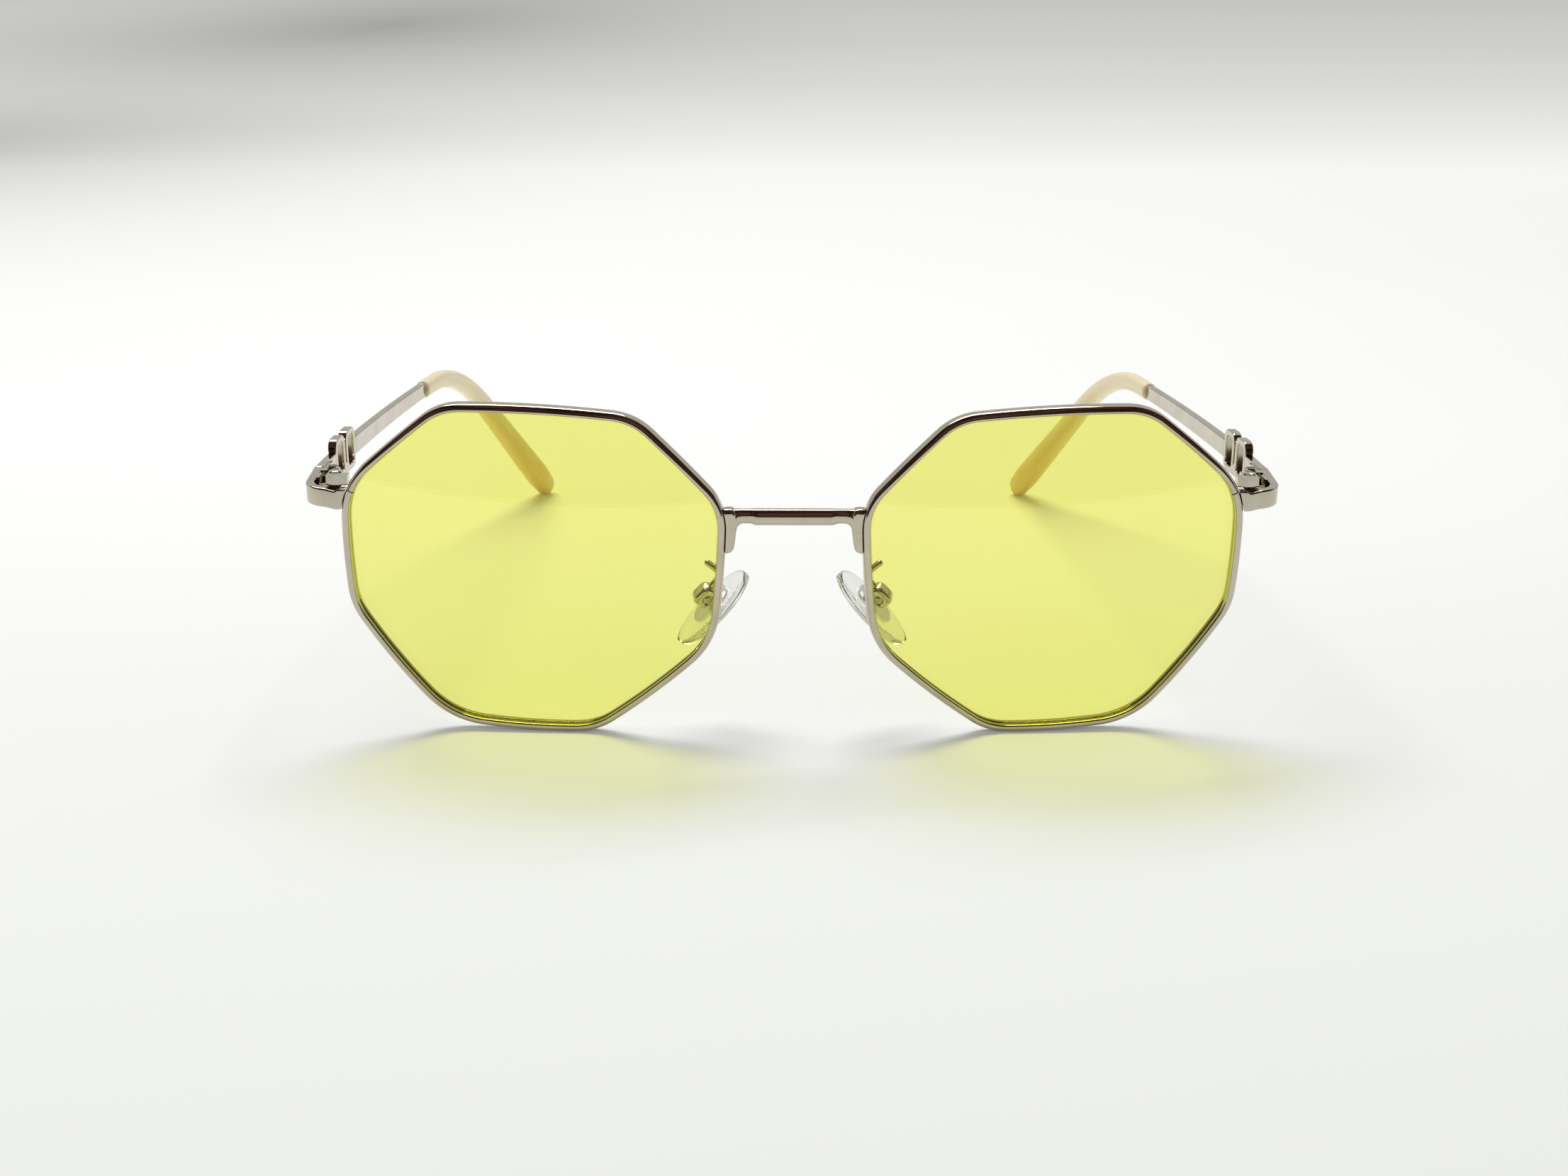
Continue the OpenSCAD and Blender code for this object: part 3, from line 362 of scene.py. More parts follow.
# Steps in each round corner of a strip, and points round a wire and round the pad screw
ROUND_STEPS, WIRE_POINTS, SCREW_POINTS = 5, 20, 32
# Hold points lie inside the ends of a flat face, which keeps its shading flat
HOLD_SHARE, HOLD_FACE, FLAT_MIN = 0.4, 0.1, 0.001


def rounded(outline, radii, steps=5):
    """A closed outline with each corner turned into a short curve."""
    out = []
    count = len(outline)
    for k, p in enumerate(outline):
        a, b = Vector(outline[k - 1]), Vector(outline[(k + 1) % count])
        p = Vector(p)
        r = min(radii[k], CORNER_SHARE * (a - p).length, CORNER_SHARE * (b - p).length)
        if r < SHARP_BELOW:
            out.append(p)
            continue
        start, end = p + (a - p).normalized() * r, p + (b - p).normalized() * r
        for t in spaced(0, 1, steps):
            out.append(start * (1 - t) ** 2 + p * 2 * t * (1 - t) + end * t * t)
    return out


def round_rect(w, h, r):
    """Section with round edges, and a hold point inside each end of its flat faces."""
    r = min(r, w / 2 - FLAT_MIN, h / 2 - FLAT_MIN)
    hold = HOLD_SHARE * min(HOLD_FACE, w - 2 * r, h - 2 * r)
    out = []
    for sx, sy, start in ((1, 1, 0), (-1, 1, 90), (-1, -1, 180), (1, -1, 270)):
        for k in range(-1, ROUND_STEPS + 2):
            g = math.radians(start + 90 * min(ROUND_STEPS, max(0, k)) / ROUND_STEPS)
            along = -hold if k < 0 else hold if k > ROUND_STEPS else 0
            x = sx * (w / 2 - r) + r * math.cos(g) - along * math.sin(g)
            y = sy * (h / 2 - r) + r * math.sin(g) + along * math.cos(g)
            out.append((x, y))
    return out


def oval(w, h, squareness, count=32):
    """Superellipse section; a squareness of 2 is an ellipse."""
    e = 2 / squareness
    return [(power(math.cos(g), e) * w / 2, power(math.sin(g), e) * h / 2) for g in turns(count)]


def circle(centre, u, v, r):
    return [centre + (u * math.cos(g) + v * math.sin(g)) * r for g in turns(WIRE_POINTS)]


# Outline of a rim, by the source's rule: eight bowed sides and eight rounded corners
TOP_BOW, BOTTOM_BOW, TEMPLE_LOW_BOW, TEMPLE_HIGH_BOW = 0.5, 0.4, 0.15, 0.05
CORNERS = [
    Vector(c) for c in (
        (-RIM_W / 2 + NOSE_TUCK, -NOSE_DROP),
        (-BOTTOM_INNER, -RIM_H / 2 + BOTTOM_BOW - SIDE_FALL / 2),
        (BOTTOM_OUTER, -RIM_H / 2 + BOTTOM_BOW + SIDE_FALL / 2),
        (RIM_W / 2 - TEMPLE_LOW_BOW, -TEMPLE_DROP),
        (RIM_W / 2 - TEMPLE_HIGH_BOW, TEMPLE_RISE),
        (TOP_OUTER, RIM_H / 2 - TOP_BOW + SIDE_FALL / 2),
        (-TOP_INNER, RIM_H / 2 - TOP_BOW - SIDE_FALL / 2),
        (-RIM_W / 2, NOSE_RISE),
    )
]
RADII = [SOFT_R, TIGHT_R, SOFT_R, TIGHT_R, SOFT_R, TIGHT_R, TIGHT_R, TIGHT_R]
COUNT = len(CORNERS)
# Corners of the outline where the endpiece and the bridge are soldered on
TEMPLE_CORNER, NOSE_CORNER = 4, 7


def corner(i):
    return CORNERS[i % COUNT]


def side_length(i):
    return (corner(i + 1) - corner(i)).length


def bow(i, t):
    """Point and direction at share t of bowed side i."""
    a, b = corner(i), corner(i + 1)
    d = (b - a).normalized()
    half = side_length(i) / 2
    centre = (a + b) / 2 - Vector((d.y, -d.x)) * math.sqrt(BOW_R ** 2 - half ** 2)
    g = math.atan2(a.y - centre.y, a.x - centre.x) + 2 * math.asin(half / BOW_R) * t
    out = Vector((math.cos(g), math.sin(g)))
    return centre + out * BOW_R, Vector((-out.y, out.x))


def cutback(i):
    """How much of each neighbouring side the curve of corner i takes."""
    a = (corner(i) - corner(i - 1)).normalized()
    b = (corner(i + 1) - corner(i)).normalized()
    return RADII[i % COUNT] * math.tan(math.acos(a.dot(b)) / 2)


def station(q):
    """Point and outward normal of the outline; q runs once round for 0 to 8."""
    i = math.floor(q) % COUNT
    f = 2 * (q - math.floor(q))
    if f < 1:
        before = (i - 1) % COUNT
        p, dp = bow(before, 1 - cutback(i) / side_length(before))
        r, dr = bow(i, cutback(i) / side_length(i))
        c = p + dp * (r - p).cross(dr) / dp.cross(dr)
        at = p * (1 - f) ** 2 + c * 2 * f * (1 - f) + r * f * f
        along = ((c - p) * (1 - f) + (r - c) * f).normalized()
    else:
        start = cutback(i) / side_length(i)
        end = 1 - cutback(i + 1) / side_length(i)
        at, along = bow(i, mix(start, end, f - 1))
    return at, Vector((along.y, -along.x))


def sag(p):
    """How far back the lens curve lies at a point of the outline's plane."""
    return LENS_R - math.sqrt(LENS_R ** 2 - p.length_squared)


def on_curve(st, s):
    """A section point s, outward and rearward of station st, as (across, back, up)."""
    p = st[0] + st[1] * s[0]
    return p.x, sag(st[0]) + s[1], p.y


def lifted(p):
    """Place of a rim point in the source's frame."""
    x = p[0] * math.cos(WRAP) - p[1] * math.sin(WRAP)
    y = p[0] * math.sin(WRAP) + p[1] * math.cos(WRAP)
    return (
        LENS_SPACING / 2 + x,
        y * math.cos(LEAN) - p[2] * math.sin(LEAN),
        LENS_Z + y * math.sin(LEAN) + p[2] * math.cos(LEAN),
    )


def edge_point(q, back):
    """Place on the rim's outer face, back from the lens curve."""
    return lifted(on_curve(station(q), (0, back)))


# Rim: one section all round, outward and rearward of the outline, with a groove for the lens
HALF = RIM_DEPTH / 2
GROOVE_SLOPE = 0.62
GROOVE_HALF = GROOVE * GROOVE_SLOPE
ROUND, CHAMFER, LIP, RIM_TRIM = 0.75, 0.2, 0.04, 0.015
RIM_SECTION = rounded(
    [
        (-RIM_TRIM, -HALF), (-RIM_WALL, -HALF), (-RIM_WALL, -GROOVE_HALF), (-RIM_WALL + GROOVE, 0),
        (-RIM_WALL, GROOVE_HALF), (-RIM_WALL, HALF), (-RIM_TRIM, HALF),
    ],
    [ROUND, CHAMFER * 1.5, LIP, 0, LIP, CHAMFER, ROUND / 2],
)
SPLIT_Q, SPLIT_GAP, SPLIT_REACH = 4.25, 0.2, 0.24
RIM_STEPS = 420


def rim(side):
    before, after = station(SPLIT_Q - SPLIT_REACH)[0], station(SPLIT_Q + SPLIT_REACH)[0]
    # q grows by about a half between these two, so this is half the gap in terms of q
    gap = SPLIT_GAP / 2 * 0.5 / (before - after).length
    stations = [station(q) for q in spaced(SPLIT_Q + gap, SPLIT_Q + COUNT - gap, RIM_STEPS)]
    rings = [[lifted(on_curve(st, s)) for s in RIM_SECTION] for st in stations]
    loft(f"polished_rim_{side}", [f"rim_{side}"], rings, "bright_metal")


# The fine curve bulges a little more than the source's facets; the trim keeps it in their box
LENS_TRIM = 0.05
LENS_STEPS, LENS_RINGS = 240, 26


def lens(side):
    """The curved sheet with a ridge round its edge, from the middle of its front to that of its back."""
    edge = -RIM_WALL - LENS_GAP
    ridge = GROOVE_HALF - LENS_GAP
    face = LENS_T / 2 - LENS_TRIM
    profile = [(edge, -face), (edge, -ridge), (edge + GROOVE - LENS_GAP, 0), (edge, ridge), (edge, face)]

    def ring(inset, back, share=1.0):
        out = []
        for k in range(LENS_STEPS):
            st = station(COUNT * k / LENS_STEPS)
            p = (st[0] + st[1] * inset) * share
            y = sag(p if share < 1 else st[0]) + back
            out.append(lifted((p.x, y, p.y)))
        return out

    shares = [math.sin(math.pi / 2 * k / LENS_RINGS) for k in range(1, LENS_RINGS)]
    rings = [ring(edge, -face, share) for share in shares]
    rings += [ring(inset, back) for inset, back in profile]
    rings += [ring(edge, face, share) for share in reversed(shares)]
    loft(f"clear_lens_{side}", [f"lens_{side}"], rings, "lens_tint", sharp=30)


# Endpiece: a strip from the rim round its corner to the seam, which rises a little on the way
FRAME_W, STRIP_CORNER_R, ENDPIECE_LEN = 140.4, 2.5, 8.6
ROOT_RISE, CORNER_RISE, STRIP_RISE = 10.6, 0.75, 0.45
ROOT_Z = LENS_Z + ROOT_RISE
CORNER_Z = ROOT_Z + CORNER_RISE
STRIP_Z = CORNER_Z + STRIP_RISE
ROOT_BOTTOM = ROOT_Z - STRIP_H / 2
ROOT_GAP, ROOT_LEN, SHOULDER = 0.1, 0.25, 0.9
STRIP_EDGE, END_EDGE = 0.24, 0.1
# Distances from a bar's end to the rings that keep its faces shading flat
END_HOLDS = (0.12, 0.18)
BAR_END_HOLDS = (0.2, 0.26)

TEMPLE_EDGE = [edge_point(q, 0) for q in spaced(TEMPLE_CORNER - 0.3, TEMPLE_CORNER + 0.42, 24)]
STRIP_X = FRAME_W / 2 - STRIP_T / 2
STRIP_Y = edge_point(TEMPLE_CORNER, 0)[1] - RIM_DEPTH / 2 + STRIP_T / 2
SEAM_Y = STRIP_Y - STRIP_T / 2 + ENDPIECE_LEN
SPLIT_Z = edge_point(SPLIT_Q, HALF)[2]


def edge_x(z):
    """X of the rim's outer face beside the endpiece, at a height."""
    return table_value([(p[2], p[0]) for p in TEMPLE_EDGE], z)


def flat_section(h, shrink=0.0):
    return round_rect(STRIP_T - 2 * shrink, h - 2 * shrink, STRIP_EDGE)


def strip_ring(c, out, h, shrink=0.0):
    """Section of the strip round c, with its outer face towards out."""
    return [(c[0] + out[0] * a, c[1] + out[1] * a, c[2] + b) for a, b in flat_section(h, shrink)]


def endpiece(side):
    root_h = SPLIT_Z - ROOT_GAP - ROOT_BOTTOM
    root_mid, root_x = ROOT_BOTTOM + root_h / 2, edge_x(ROOT_BOTTOM)
    root = strip_ring((0, STRIP_Y, root_mid), (0, -1), root_h)
    rings = [[(edge_x(p[2]) + ROOT_GAP, p[1], p[2]) for p in root]]
    for t in spaced(0, 1, 4)[1:]:
        centre = (mix(root_x + ROOT_LEN, root_x + SHOULDER, t), STRIP_Y, mix(root_mid, ROOT_Z, ease(t)))
        rings.append(strip_ring(centre, (0, -1), mix(root_h, STRIP_H, ease(t))))
    turn_x, turn_y = STRIP_X - STRIP_CORNER_R, STRIP_Y + STRIP_CORNER_R
    for t in spaced(0, 1, 24):
        g = math.pi / 2 * t
        out = (math.sin(g), -math.cos(g))
        x, y = turn_x + STRIP_CORNER_R * out[0], turn_y + STRIP_CORNER_R * out[1]
        rings.append(strip_ring((x, y, mix(ROOT_Z, CORNER_Z, 0.5 + t / 2)), out, STRIP_H))
    rings += [strip_ring((STRIP_X, SEAM_Y - d, STRIP_Z), (1, 0), STRIP_H) for d in reversed(END_HOLDS)]
    rings.append(strip_ring((STRIP_X, SEAM_Y, STRIP_Z), (1, 0), STRIP_H, END_EDGE))
    loft(f"bent_endpiece_{side}", [f"endpiece_{side}"], rings, "bright_metal")


# Temple: a flat bar that bows inwards, a bend and a straight tip
BAR_LEN, BAR_H, BAR_END_H = 62.0, 2.9, 2.5
TOE_IN, BOW, FALL = math.radians(1.6), math.radians(6.3), math.radians(1.6)
TIP_STRAIGHT, TIP_BEND_R = 6.2, 37.0
TIP_FALL, TIP_TOE_IN = math.radians(42.2), math.radians(19.8)
TIP_START, TIP_END = (2.5, 3.0), (3.5, 4.4)
TIP_END_R, TIP_TRIM = TIP_END[1] / 2, 0.07
CORE_D, CORE_GAP, TIP_SOLID, COLLAR_GAP = 1.3, 0.06, 12.0, 0.05

BAR_START = Vector((STRIP_X, SEAM_Y + SEAM_GAP, STRIP_Z))
BEND_S = BAR_LEN + TIP_STRAIGHT
BOW_RADIUS = BEND_S / BOW


def heading(inward, down):
    return Vector((-math.sin(inward) * math.cos(down), math.cos(inward) * math.cos(down), -math.sin(down)))


def toe_in(s):
    return TOE_IN + BOW * s / BEND_S


def bar_point(s):
    g, run = toe_in(s), BOW_RADIUS * math.cos(FALL)
    turn = (math.cos(g) - math.cos(TOE_IN), math.sin(g) - math.sin(TOE_IN))
    return BAR_START + Vector((run * turn[0], run * turn[1], -s * math.sin(FALL)))


BAR_DIR, TIP_DIR = heading(toe_in(BEND_S), FALL), heading(TIP_TOE_IN, TIP_FALL)
BEND_START = bar_point(BEND_S)
BEND_ANGLE = math.acos(BAR_DIR.dot(TIP_DIR))
BEND_SIDE = (TIP_DIR - BAR_DIR * BAR_DIR.dot(TIP_DIR)).normalized()
BEND_LEN = TIP_BEND_R * BEND_ANGLE
BEND_END_S = BEND_S + BEND_LEN


def bend_point(t):
    g = BEND_ANGLE * t
    return BEND_START + TIP_BEND_R * (math.sin(g) * BAR_DIR + (1 - math.cos(g)) * BEND_SIDE)


# The tip ends where it reaches the table
PATH_LEN = BEND_END_S + (bend_point(1).z - TIP_END_R) / math.sin(TIP_FALL) + TIP_END_R
WIRE_END_S = PATH_LEN - TIP_SOLID
COLLAR_S = BAR_LEN + COLLAR_GAP
CAP_S = PATH_LEN - TIP_END_R


def path_point(s):
    """Place at a length s along the temple's middle line."""
    if s < BEND_S:
        return bar_point(s)
    if s < BEND_END_S:
        return bend_point((s - BEND_S) / BEND_LEN)
    return bend_point(1) + TIP_DIR * (s - BEND_END_S)


def path_dir(s):
    if s < BEND_S:
        return heading(toe_in(s), FALL)
    g = BEND_ANGLE * min(1, (s - BEND_S) / BEND_LEN)
    return math.cos(g) * BAR_DIR + math.sin(g) * BEND_SIDE


def on_path(s, section, rise=0.0):
    """A section of (sideways, upward) points across the temple's line at s."""
    ahead = path_dir(s)
    side = ahead.cross(Vector((0, 0, 1))).normalized()
    up = side.cross(ahead)
    c = path_point(s) + up * rise
    return [c + side * a + up * b for a, b in section]


# Ornament: two upright links on a rail, in a cradle that is cut into the bar
STUB_LEN, RAIL_H, RAIL_SINK, NOTCH = 7.9, 1.0, 1.65, 0.04
LINK_H, LINK_W, LINK_PARTING, LINK_BAND = 6.5, 5.3, 0.6, 1.0
LINK_R, LINK_WEB_H, LINK_WEB_R = 1.8, 0.8, 0.25
RAIL_END = STUB_LEN + 2 * LINK_W + LINK_PARTING
LINK_LOW = -BAR_H / 2 - RAIL_SINK
RAIL_TOP = LINK_LOW + RAIL_H
# The bar runs on for a little into the links, and inside them it is slimmer, so that they hide it
LINK_OVERLAP, CRADLE_START, LINK_HIDE = 0.3, 0.65, 0.08
# Width of the ornament's softened edge, and of the row inside it that keeps the face shading flat
ORNAMENT_EDGE, ORNAMENT_REST = 0.2, 0.08
# The softened edge as shares of its width, back from the face and in from the side
EDGE_STEPS = ((0, 1), (0.13, 0.5), (0.5, 0.13), (1, 0), (1.2, 0))


def link_low_at(d):
    """Underside of the links at a distance from their outer end."""
    return LINK_LOW + LINK_R - math.sqrt(LINK_R ** 2 - max(0, LINK_R - d) ** 2)


def hidden_ring(s, low, high):
    """Section of the bar inside the links, from low to high."""
    return on_path(s, flat_section(high - low, LINK_HIDE), (low + high) / 2)


def temple(side):
    """The bar, with the cradle that the links hide, and the core wire of the tip."""
    half = BAR_H / 2
    bar_from, bar_to = RAIL_END - LINK_OVERLAP, BAR_LEN - NOTCH
    rings = [on_path(0, flat_section(STRIP_H, END_EDGE))]
    stub = [END_HOLDS[0]] + spaced(END_HOLDS[1], STUB_LEN + LINK_OVERLAP, 5)
    rings += [on_path(s, flat_section(mix(STRIP_H, BAR_H, s / STUB_LEN))) for s in stub]
    hidden = [(d, max(-half, link_low_at(d)), half) for d in (CRADLE_START, LINK_BAND - NOTCH)]
    hidden += [(d, LINK_LOW, RAIL_TOP) for d in (LINK_BAND, LINK_R)]
    rings += [hidden_ring(STUB_LEN + d, low, high) for d, low, high in hidden]
    rings += [hidden_ring(RAIL_END - d, low, high) for d, low, high in reversed(hidden)]
    for s in spaced(bar_from, bar_to - BAR_END_HOLDS[1], 24) + [bar_to - BAR_END_HOLDS[0], bar_to]:
        h = mix(BAR_H, BAR_END_H, (s - bar_from) / (bar_to - bar_from))
        rings.append(on_path(s, flat_section(h, END_EDGE if s == bar_to else 0)))
    wire = round_rect(CORE_D, CORE_D, CORE_D / 2)
    rings += [on_path(s, wire) for s in spaced(BAR_LEN, BEND_S, 5)[:-1] + spaced(BEND_S, WIRE_END_S, 30)]
    loft(f"bar_temple_{side}", [f"temple_{side}"], rings, "bright_metal", f"temple_{side}")


# Tip: how much it swells across and upwards, and the shares of its length where that starts and is widest
TIP_SQUARENESS, TIP_SWELL, SWELL_FROM, SWELL_AT = 2.4, (0.3, 0.1), 0.4, 0.93
# The share of the sideways swell that is left at the very end
SWELL_LEFT = 0.2
# The collar's softened edge, and the finer rings before the round end and over it
COLLAR_SHARE, COLLAR_EDGE, CAP_RUN = 0.93, 0.12, 5
CAP_DEGREES = (8, 18, 28, 38, 48, 58, 67, 75, 82, 87)
BORE_SPARE = 0.2


def tip_size(s):
    """Width and height of the tip, which swells a little before its round end."""
    t = (s - COLLAR_S) / (CAP_S - COLLAR_S)
    rise, fall = ease((t - SWELL_FROM) / (SWELL_AT - SWELL_FROM)), ease((t - SWELL_AT) / (1 - SWELL_AT))
    w = mix(TIP_START[0], TIP_END[0], t) * (1 + TIP_SWELL[0] * rise * mix(1, SWELL_LEFT, fall))
    h = mix(TIP_START[1], TIP_END[1], t) * (1 + TIP_SWELL[1] * rise * (1 - fall))
    return w, h


def tip_section(s, share=1.0):
    w, h = tip_size(s)
    return oval(w * share, h * share, TIP_SQUARENESS)


def tip(side):
    """The skin runs from the end of the bore back to the collar, and from there to the round end."""
    bore_d = CORE_D + 2 * CORE_GAP
    bore = oval(bore_d, bore_d, 2)
    stations = spaced(COLLAR_S, BEND_S, 6) + spaced(BEND_S, BEND_END_S, 26)[1:]
    stations += spaced(BEND_END_S, CAP_S - CAP_RUN, 12)[1:] + spaced(CAP_S - CAP_RUN, CAP_S, 8)[1:]
    rings = [on_path(WIRE_END_S + BORE_SPARE, bore)]
    rings += [on_path(s, bore) for s in reversed(stations) if s < WIRE_END_S]
    rings.append(on_path(COLLAR_S, tip_section(COLLAR_S, COLLAR_SHARE)))
    rings.append(on_path(COLLAR_S + COLLAR_EDGE, tip_section(COLLAR_S)))
    rings += [on_path(s, tip_section(s)) for s in stations[1:]]
    for g in map(math.radians, CAP_DEGREES):
        w, h = ((size - 2 * TIP_TRIM) * math.cos(g) for size in tip_size(CAP_S))
        rings.append(on_path(CAP_S + (TIP_END_R - TIP_TRIM) * math.sin(g), oval(w, h, TIP_SQUARENESS)))
    loft(f"acetate_tip_{side}", [f"temple_tip_{side}"], rings, "tip_plastic", f"temple_{side}")


def link_loops():
    """Outline of the two links with their rail, then of the opening in each, as (along, up)."""
    low, high, end, next_link = LINK_LOW, LINK_LOW + LINK_H, 2 * LINK_W + LINK_PARTING, LINK_W + LINK_PARTING
    web = RAIL_TOP + SOLDER_GAP + LINK_WEB_H
    corners = [(0, low), (end, low), (end, high), (next_link, high), (next_link, web)]
    corners += [(LINK_W, web), (LINK_W, high), (0, high)]
    loops = [rounded(corners, [LINK_R] * 4 + [LINK_WEB_R] * 2 + [LINK_R] * 2, 9)]
    top = high - LINK_BAND
    for near in (LINK_BAND, next_link + LINK_BAND):
        far = near + LINK_W - 2 * LINK_BAND
        opening = [(near, RAIL_TOP), (near, top), (far, top), (far, RAIL_TOP)]
        loops.append(rounded(opening, [LINK_R - LINK_BAND] * 4, 9))
    return loops


def mitres(loop):
    """For each point of a loop, how it moves when all sides move in by 1."""
    out = []
    for k, p in enumerate(loop):
        a, b = (p - loop[k - 1]).normalized(), (loop[(k + 1) % len(loop)] - p).normalized()
        out.append(Vector((-a.y - b.y, a.x + b.x)) / max(0.5, 1 + a.dot(b)))
    return out


def ornament(side):
    """The links as one flat plate with softened edges."""
    layers = [(-STRIP_T / 2, ORNAMENT_EDGE + ORNAMENT_REST)]
    layers += [(-STRIP_T / 2 + ORNAMENT_EDGE * back, ORNAMENT_EDGE * inset) for back, inset in EDGE_STEPS]
    layers += [(-a, inset) for a, inset in reversed(layers)]
    base = path_point(STUB_LEN)
    g = toe_in((STUB_LEN + RAIL_END) / 2)
    ahead, sideways = heading(g, FALL), Vector((math.cos(g), math.sin(g), 0))
    upward = sideways.cross(ahead)
    points, faces, caps = [], [], ([], [])
    for loop in link_loops():
        count, first = len(loop), len(points)
        moves = mitres(loop)
        for a, inset in layers:
            points += [
                base + sideways * a + ahead * (p.x + n.x * inset) + upward * (p.y + n.y * inset)
                for p, n in zip(loop, moves)
            ]
        faces += band(len(layers), count, first)
        caps[0].append(range(first, first + count))
        caps[1].append(range(len(points) - count, len(points)))
    for cap, outward in zip(caps, (-1, 1)):
        flat = [
            [Vector(((points[i] - base).dot(ahead), (points[i] - base).dot(upward), 0)) for i in loop]
            for loop in cap
        ]
        index = [i for loop in cap for i in loop]
        for triangle in tessellate_polygon(flat):
            corners = tuple(index[k] for k in triangle)
            a, b, c = (points[i] for i in corners)
            faces.append(corners if (b - a).cross(c - a).dot(sideways) * outward > 0 else corners[::-1])
    body = f"temple_{side}"
    piece(f"link_ornament_{side}", [f"ornament_{side}"], points, faces, "bright_metal", body, sharp=35)


# Bridge: a bar with a thicker middle between two feet on the nose sides of the rims
BRIDGE_RISE, BRIDGE_H, BRIDGE_D, BRIDGE_MID, BRIDGE_SQUARENESS = 9.25, 2.4, 1.8, 11.6, 3
# The step from the thick middle to a neck: its height, its run, the share of the height that lifts the neck,
# and how far before the step the middle's last ring lies
BRIDGE_STEP, STEP_RUN, STEP_LIFT, STEP_HOLD = 0.3, 1.1, 0.4, 0.15
STEP_SHARES = (0.15, 0.35, 0.5, 0.65, 0.85, 1)
# The feet: the neck meets them in a fillet at a share of their width, and they taper downwards
FOOT_LEN, FOOT_W, FOOT_FILLET, FOOT_MEET = 6.5, 1.72, 1.05, 0.94
FILLET_SHARES = (0, 0.2, 0.4, 0.55, 0.7, 0.8, 0.88, 0.95, 1)
FOOT_TAPER, FOOT_END, FOOT_ROUND, FOOT_END_D, FOOT_EDGES = 0.68, 0.06, 10, 0.6, (0.08, 0.45)
# The stretch of q on either side of the foot's middle over which the outline's length is measured
FOOT_REACH = 0.25
FOOT_MID = NOSE_CORNER + 0.5


def foot_q(d):
    """q at a length d from the middle of the nose side."""
    reach = -FOOT_REACH if d < 0 else FOOT_REACH
    far = station(FOOT_MID + reach)[0] - station(FOOT_MID)[0]
    return FOOT_MID + FOOT_REACH * d / far.length


def bridge_foot():
    rings = []
    for t in spaced(0, 1, 40):
        swell = math.sqrt(max(FOOT_END, 1 - abs(2 * t - 1) ** FOOT_ROUND))
        w = FOOT_W * mix(1, FOOT_TAPER, t) * swell
        d = BRIDGE_D / 2 * mix(FOOT_END_D, 1, swell)
        section = [(SOLDER_GAP, -d), (w, -d), (w, d), (SOLDER_GAP, d)]
        soldered, free = FOOT_EDGES
        st = station(foot_q(FOOT_LEN * (t - 0.5)))
        rings.append([lifted(on_curve(st, s)) for s in rounded(section, [soldered, free, free, soldered])])
    return rings


def bridge():
    nose = [edge_point(q, 0) for q in spaced(NOSE_CORNER + 0.95, NOSE_CORNER + 0.23, 24)]
    z0 = LENS_Z + BRIDGE_RISE * math.cos(LEAN)
    y0 = table_value([(p[2], p[1]) for p in nose], z0)
    nose_x = table_value([(p[2], p[0]) for p in nose], z0)
    meet_x, step_x = nose_x - FOOT_W * FOOT_MEET, (BRIDGE_MID - STEP_RUN) / 2
    neck_h, neck_d, lift = BRIDGE_H - BRIDGE_STEP, BRIDGE_D - BRIDGE_STEP, BRIDGE_STEP * STEP_LIFT
    # Rows of place along X, height, depth and rise, from the middle outwards
    half = [(0, BRIDGE_H, BRIDGE_D, 0), (step_x - STEP_HOLD, BRIDGE_H, BRIDGE_D, 0)]
    for t in STEP_SHARES:
        s = ease(t)
        half.append((step_x + STEP_RUN * t, mix(BRIDGE_H, neck_h, s), mix(BRIDGE_D, neck_d, s), lift * s))
    for t in FILLET_SHARES:
        drop = FOOT_FILLET * (1 - math.sqrt(1 - t * t))
        x, d = meet_x - FOOT_FILLET * (1 - t), mix(neck_d, BRIDGE_D, t ** 3)
        half.append((x, neck_h + drop, d, lift - drop / 2))
    half.append((nose_x - FOOT_W / 2, neck_h + FOOT_FILLET, BRIDGE_D, lift - FOOT_FILLET / 2))
    bar = [
        [(x * flip, y0 + a, z0 + rise + b) for a, b in oval(d, h, BRIDGE_SQUARENESS, 48)]
        for flip, rows in ((-1, reversed(half)), (1, half[1:]))
        for x, h, d, rise in rows
    ]
    foot = bridge_foot()
    mirrored = [[(-p[0], p[1], p[2]) for p in ring] for ring in foot]
    piece("polished_bridge", ["bridge"], *skins(bar, mirrored, foot), "bright_metal")


# Nose pads: clear silicone pads that stand on their insert plates
PAD_CENTER = Vector((11.7, 9.0, LENS_Z - 7.6))
PAD_LEN, PAD_W, PAD_T, PAD_OVALNESS = 15.0, 7.2, 1.5, 2.3
PAD_CROWN, PAD_THINNING, PAD_EDGE, PAD_STEPS = 0.2, 0.5, 0.35, 48
PAD_TURN = (
    Matrix.Rotation(math.radians(-25), 3, "Z")
    @ Matrix.Rotation(math.radians(-37), 3, "Y")
    @ Matrix.Rotation(math.radians(22), 3, "X")
)


def pad_point(v):
    """Place of a point in the pad's axes: away from the nose, back, and along the pad."""
    return PAD_CENTER + PAD_TURN @ Vector(v)


def nose_pad(side):
    rings = []
    for k in range(1, PAD_STEPS):
        z = -math.cos(math.pi * k / PAD_STEPS)
        w = PAD_W / 2 * math.sqrt(1 - abs(z) ** PAD_OVALNESS)
        inner, outer = PAD_T / 2 + PAD_CROWN - PAD_THINNING * z * z, PAD_T / 2
        ring = []
        for g in turns(PAD_STEPS):
            s = math.sin(g)
            x = outer * power(s, PAD_EDGE) if s > 0 else inner * s
            ring.append(pad_point((x, -math.cos(g) * w, z * PAD_LEN / 2)))
        rings.append(ring)
    loft(f"silicone_pad_{side}", [f"nose_pad_{side}"], rings, "pad_silicone", f"pad_{side}", sharp=50)


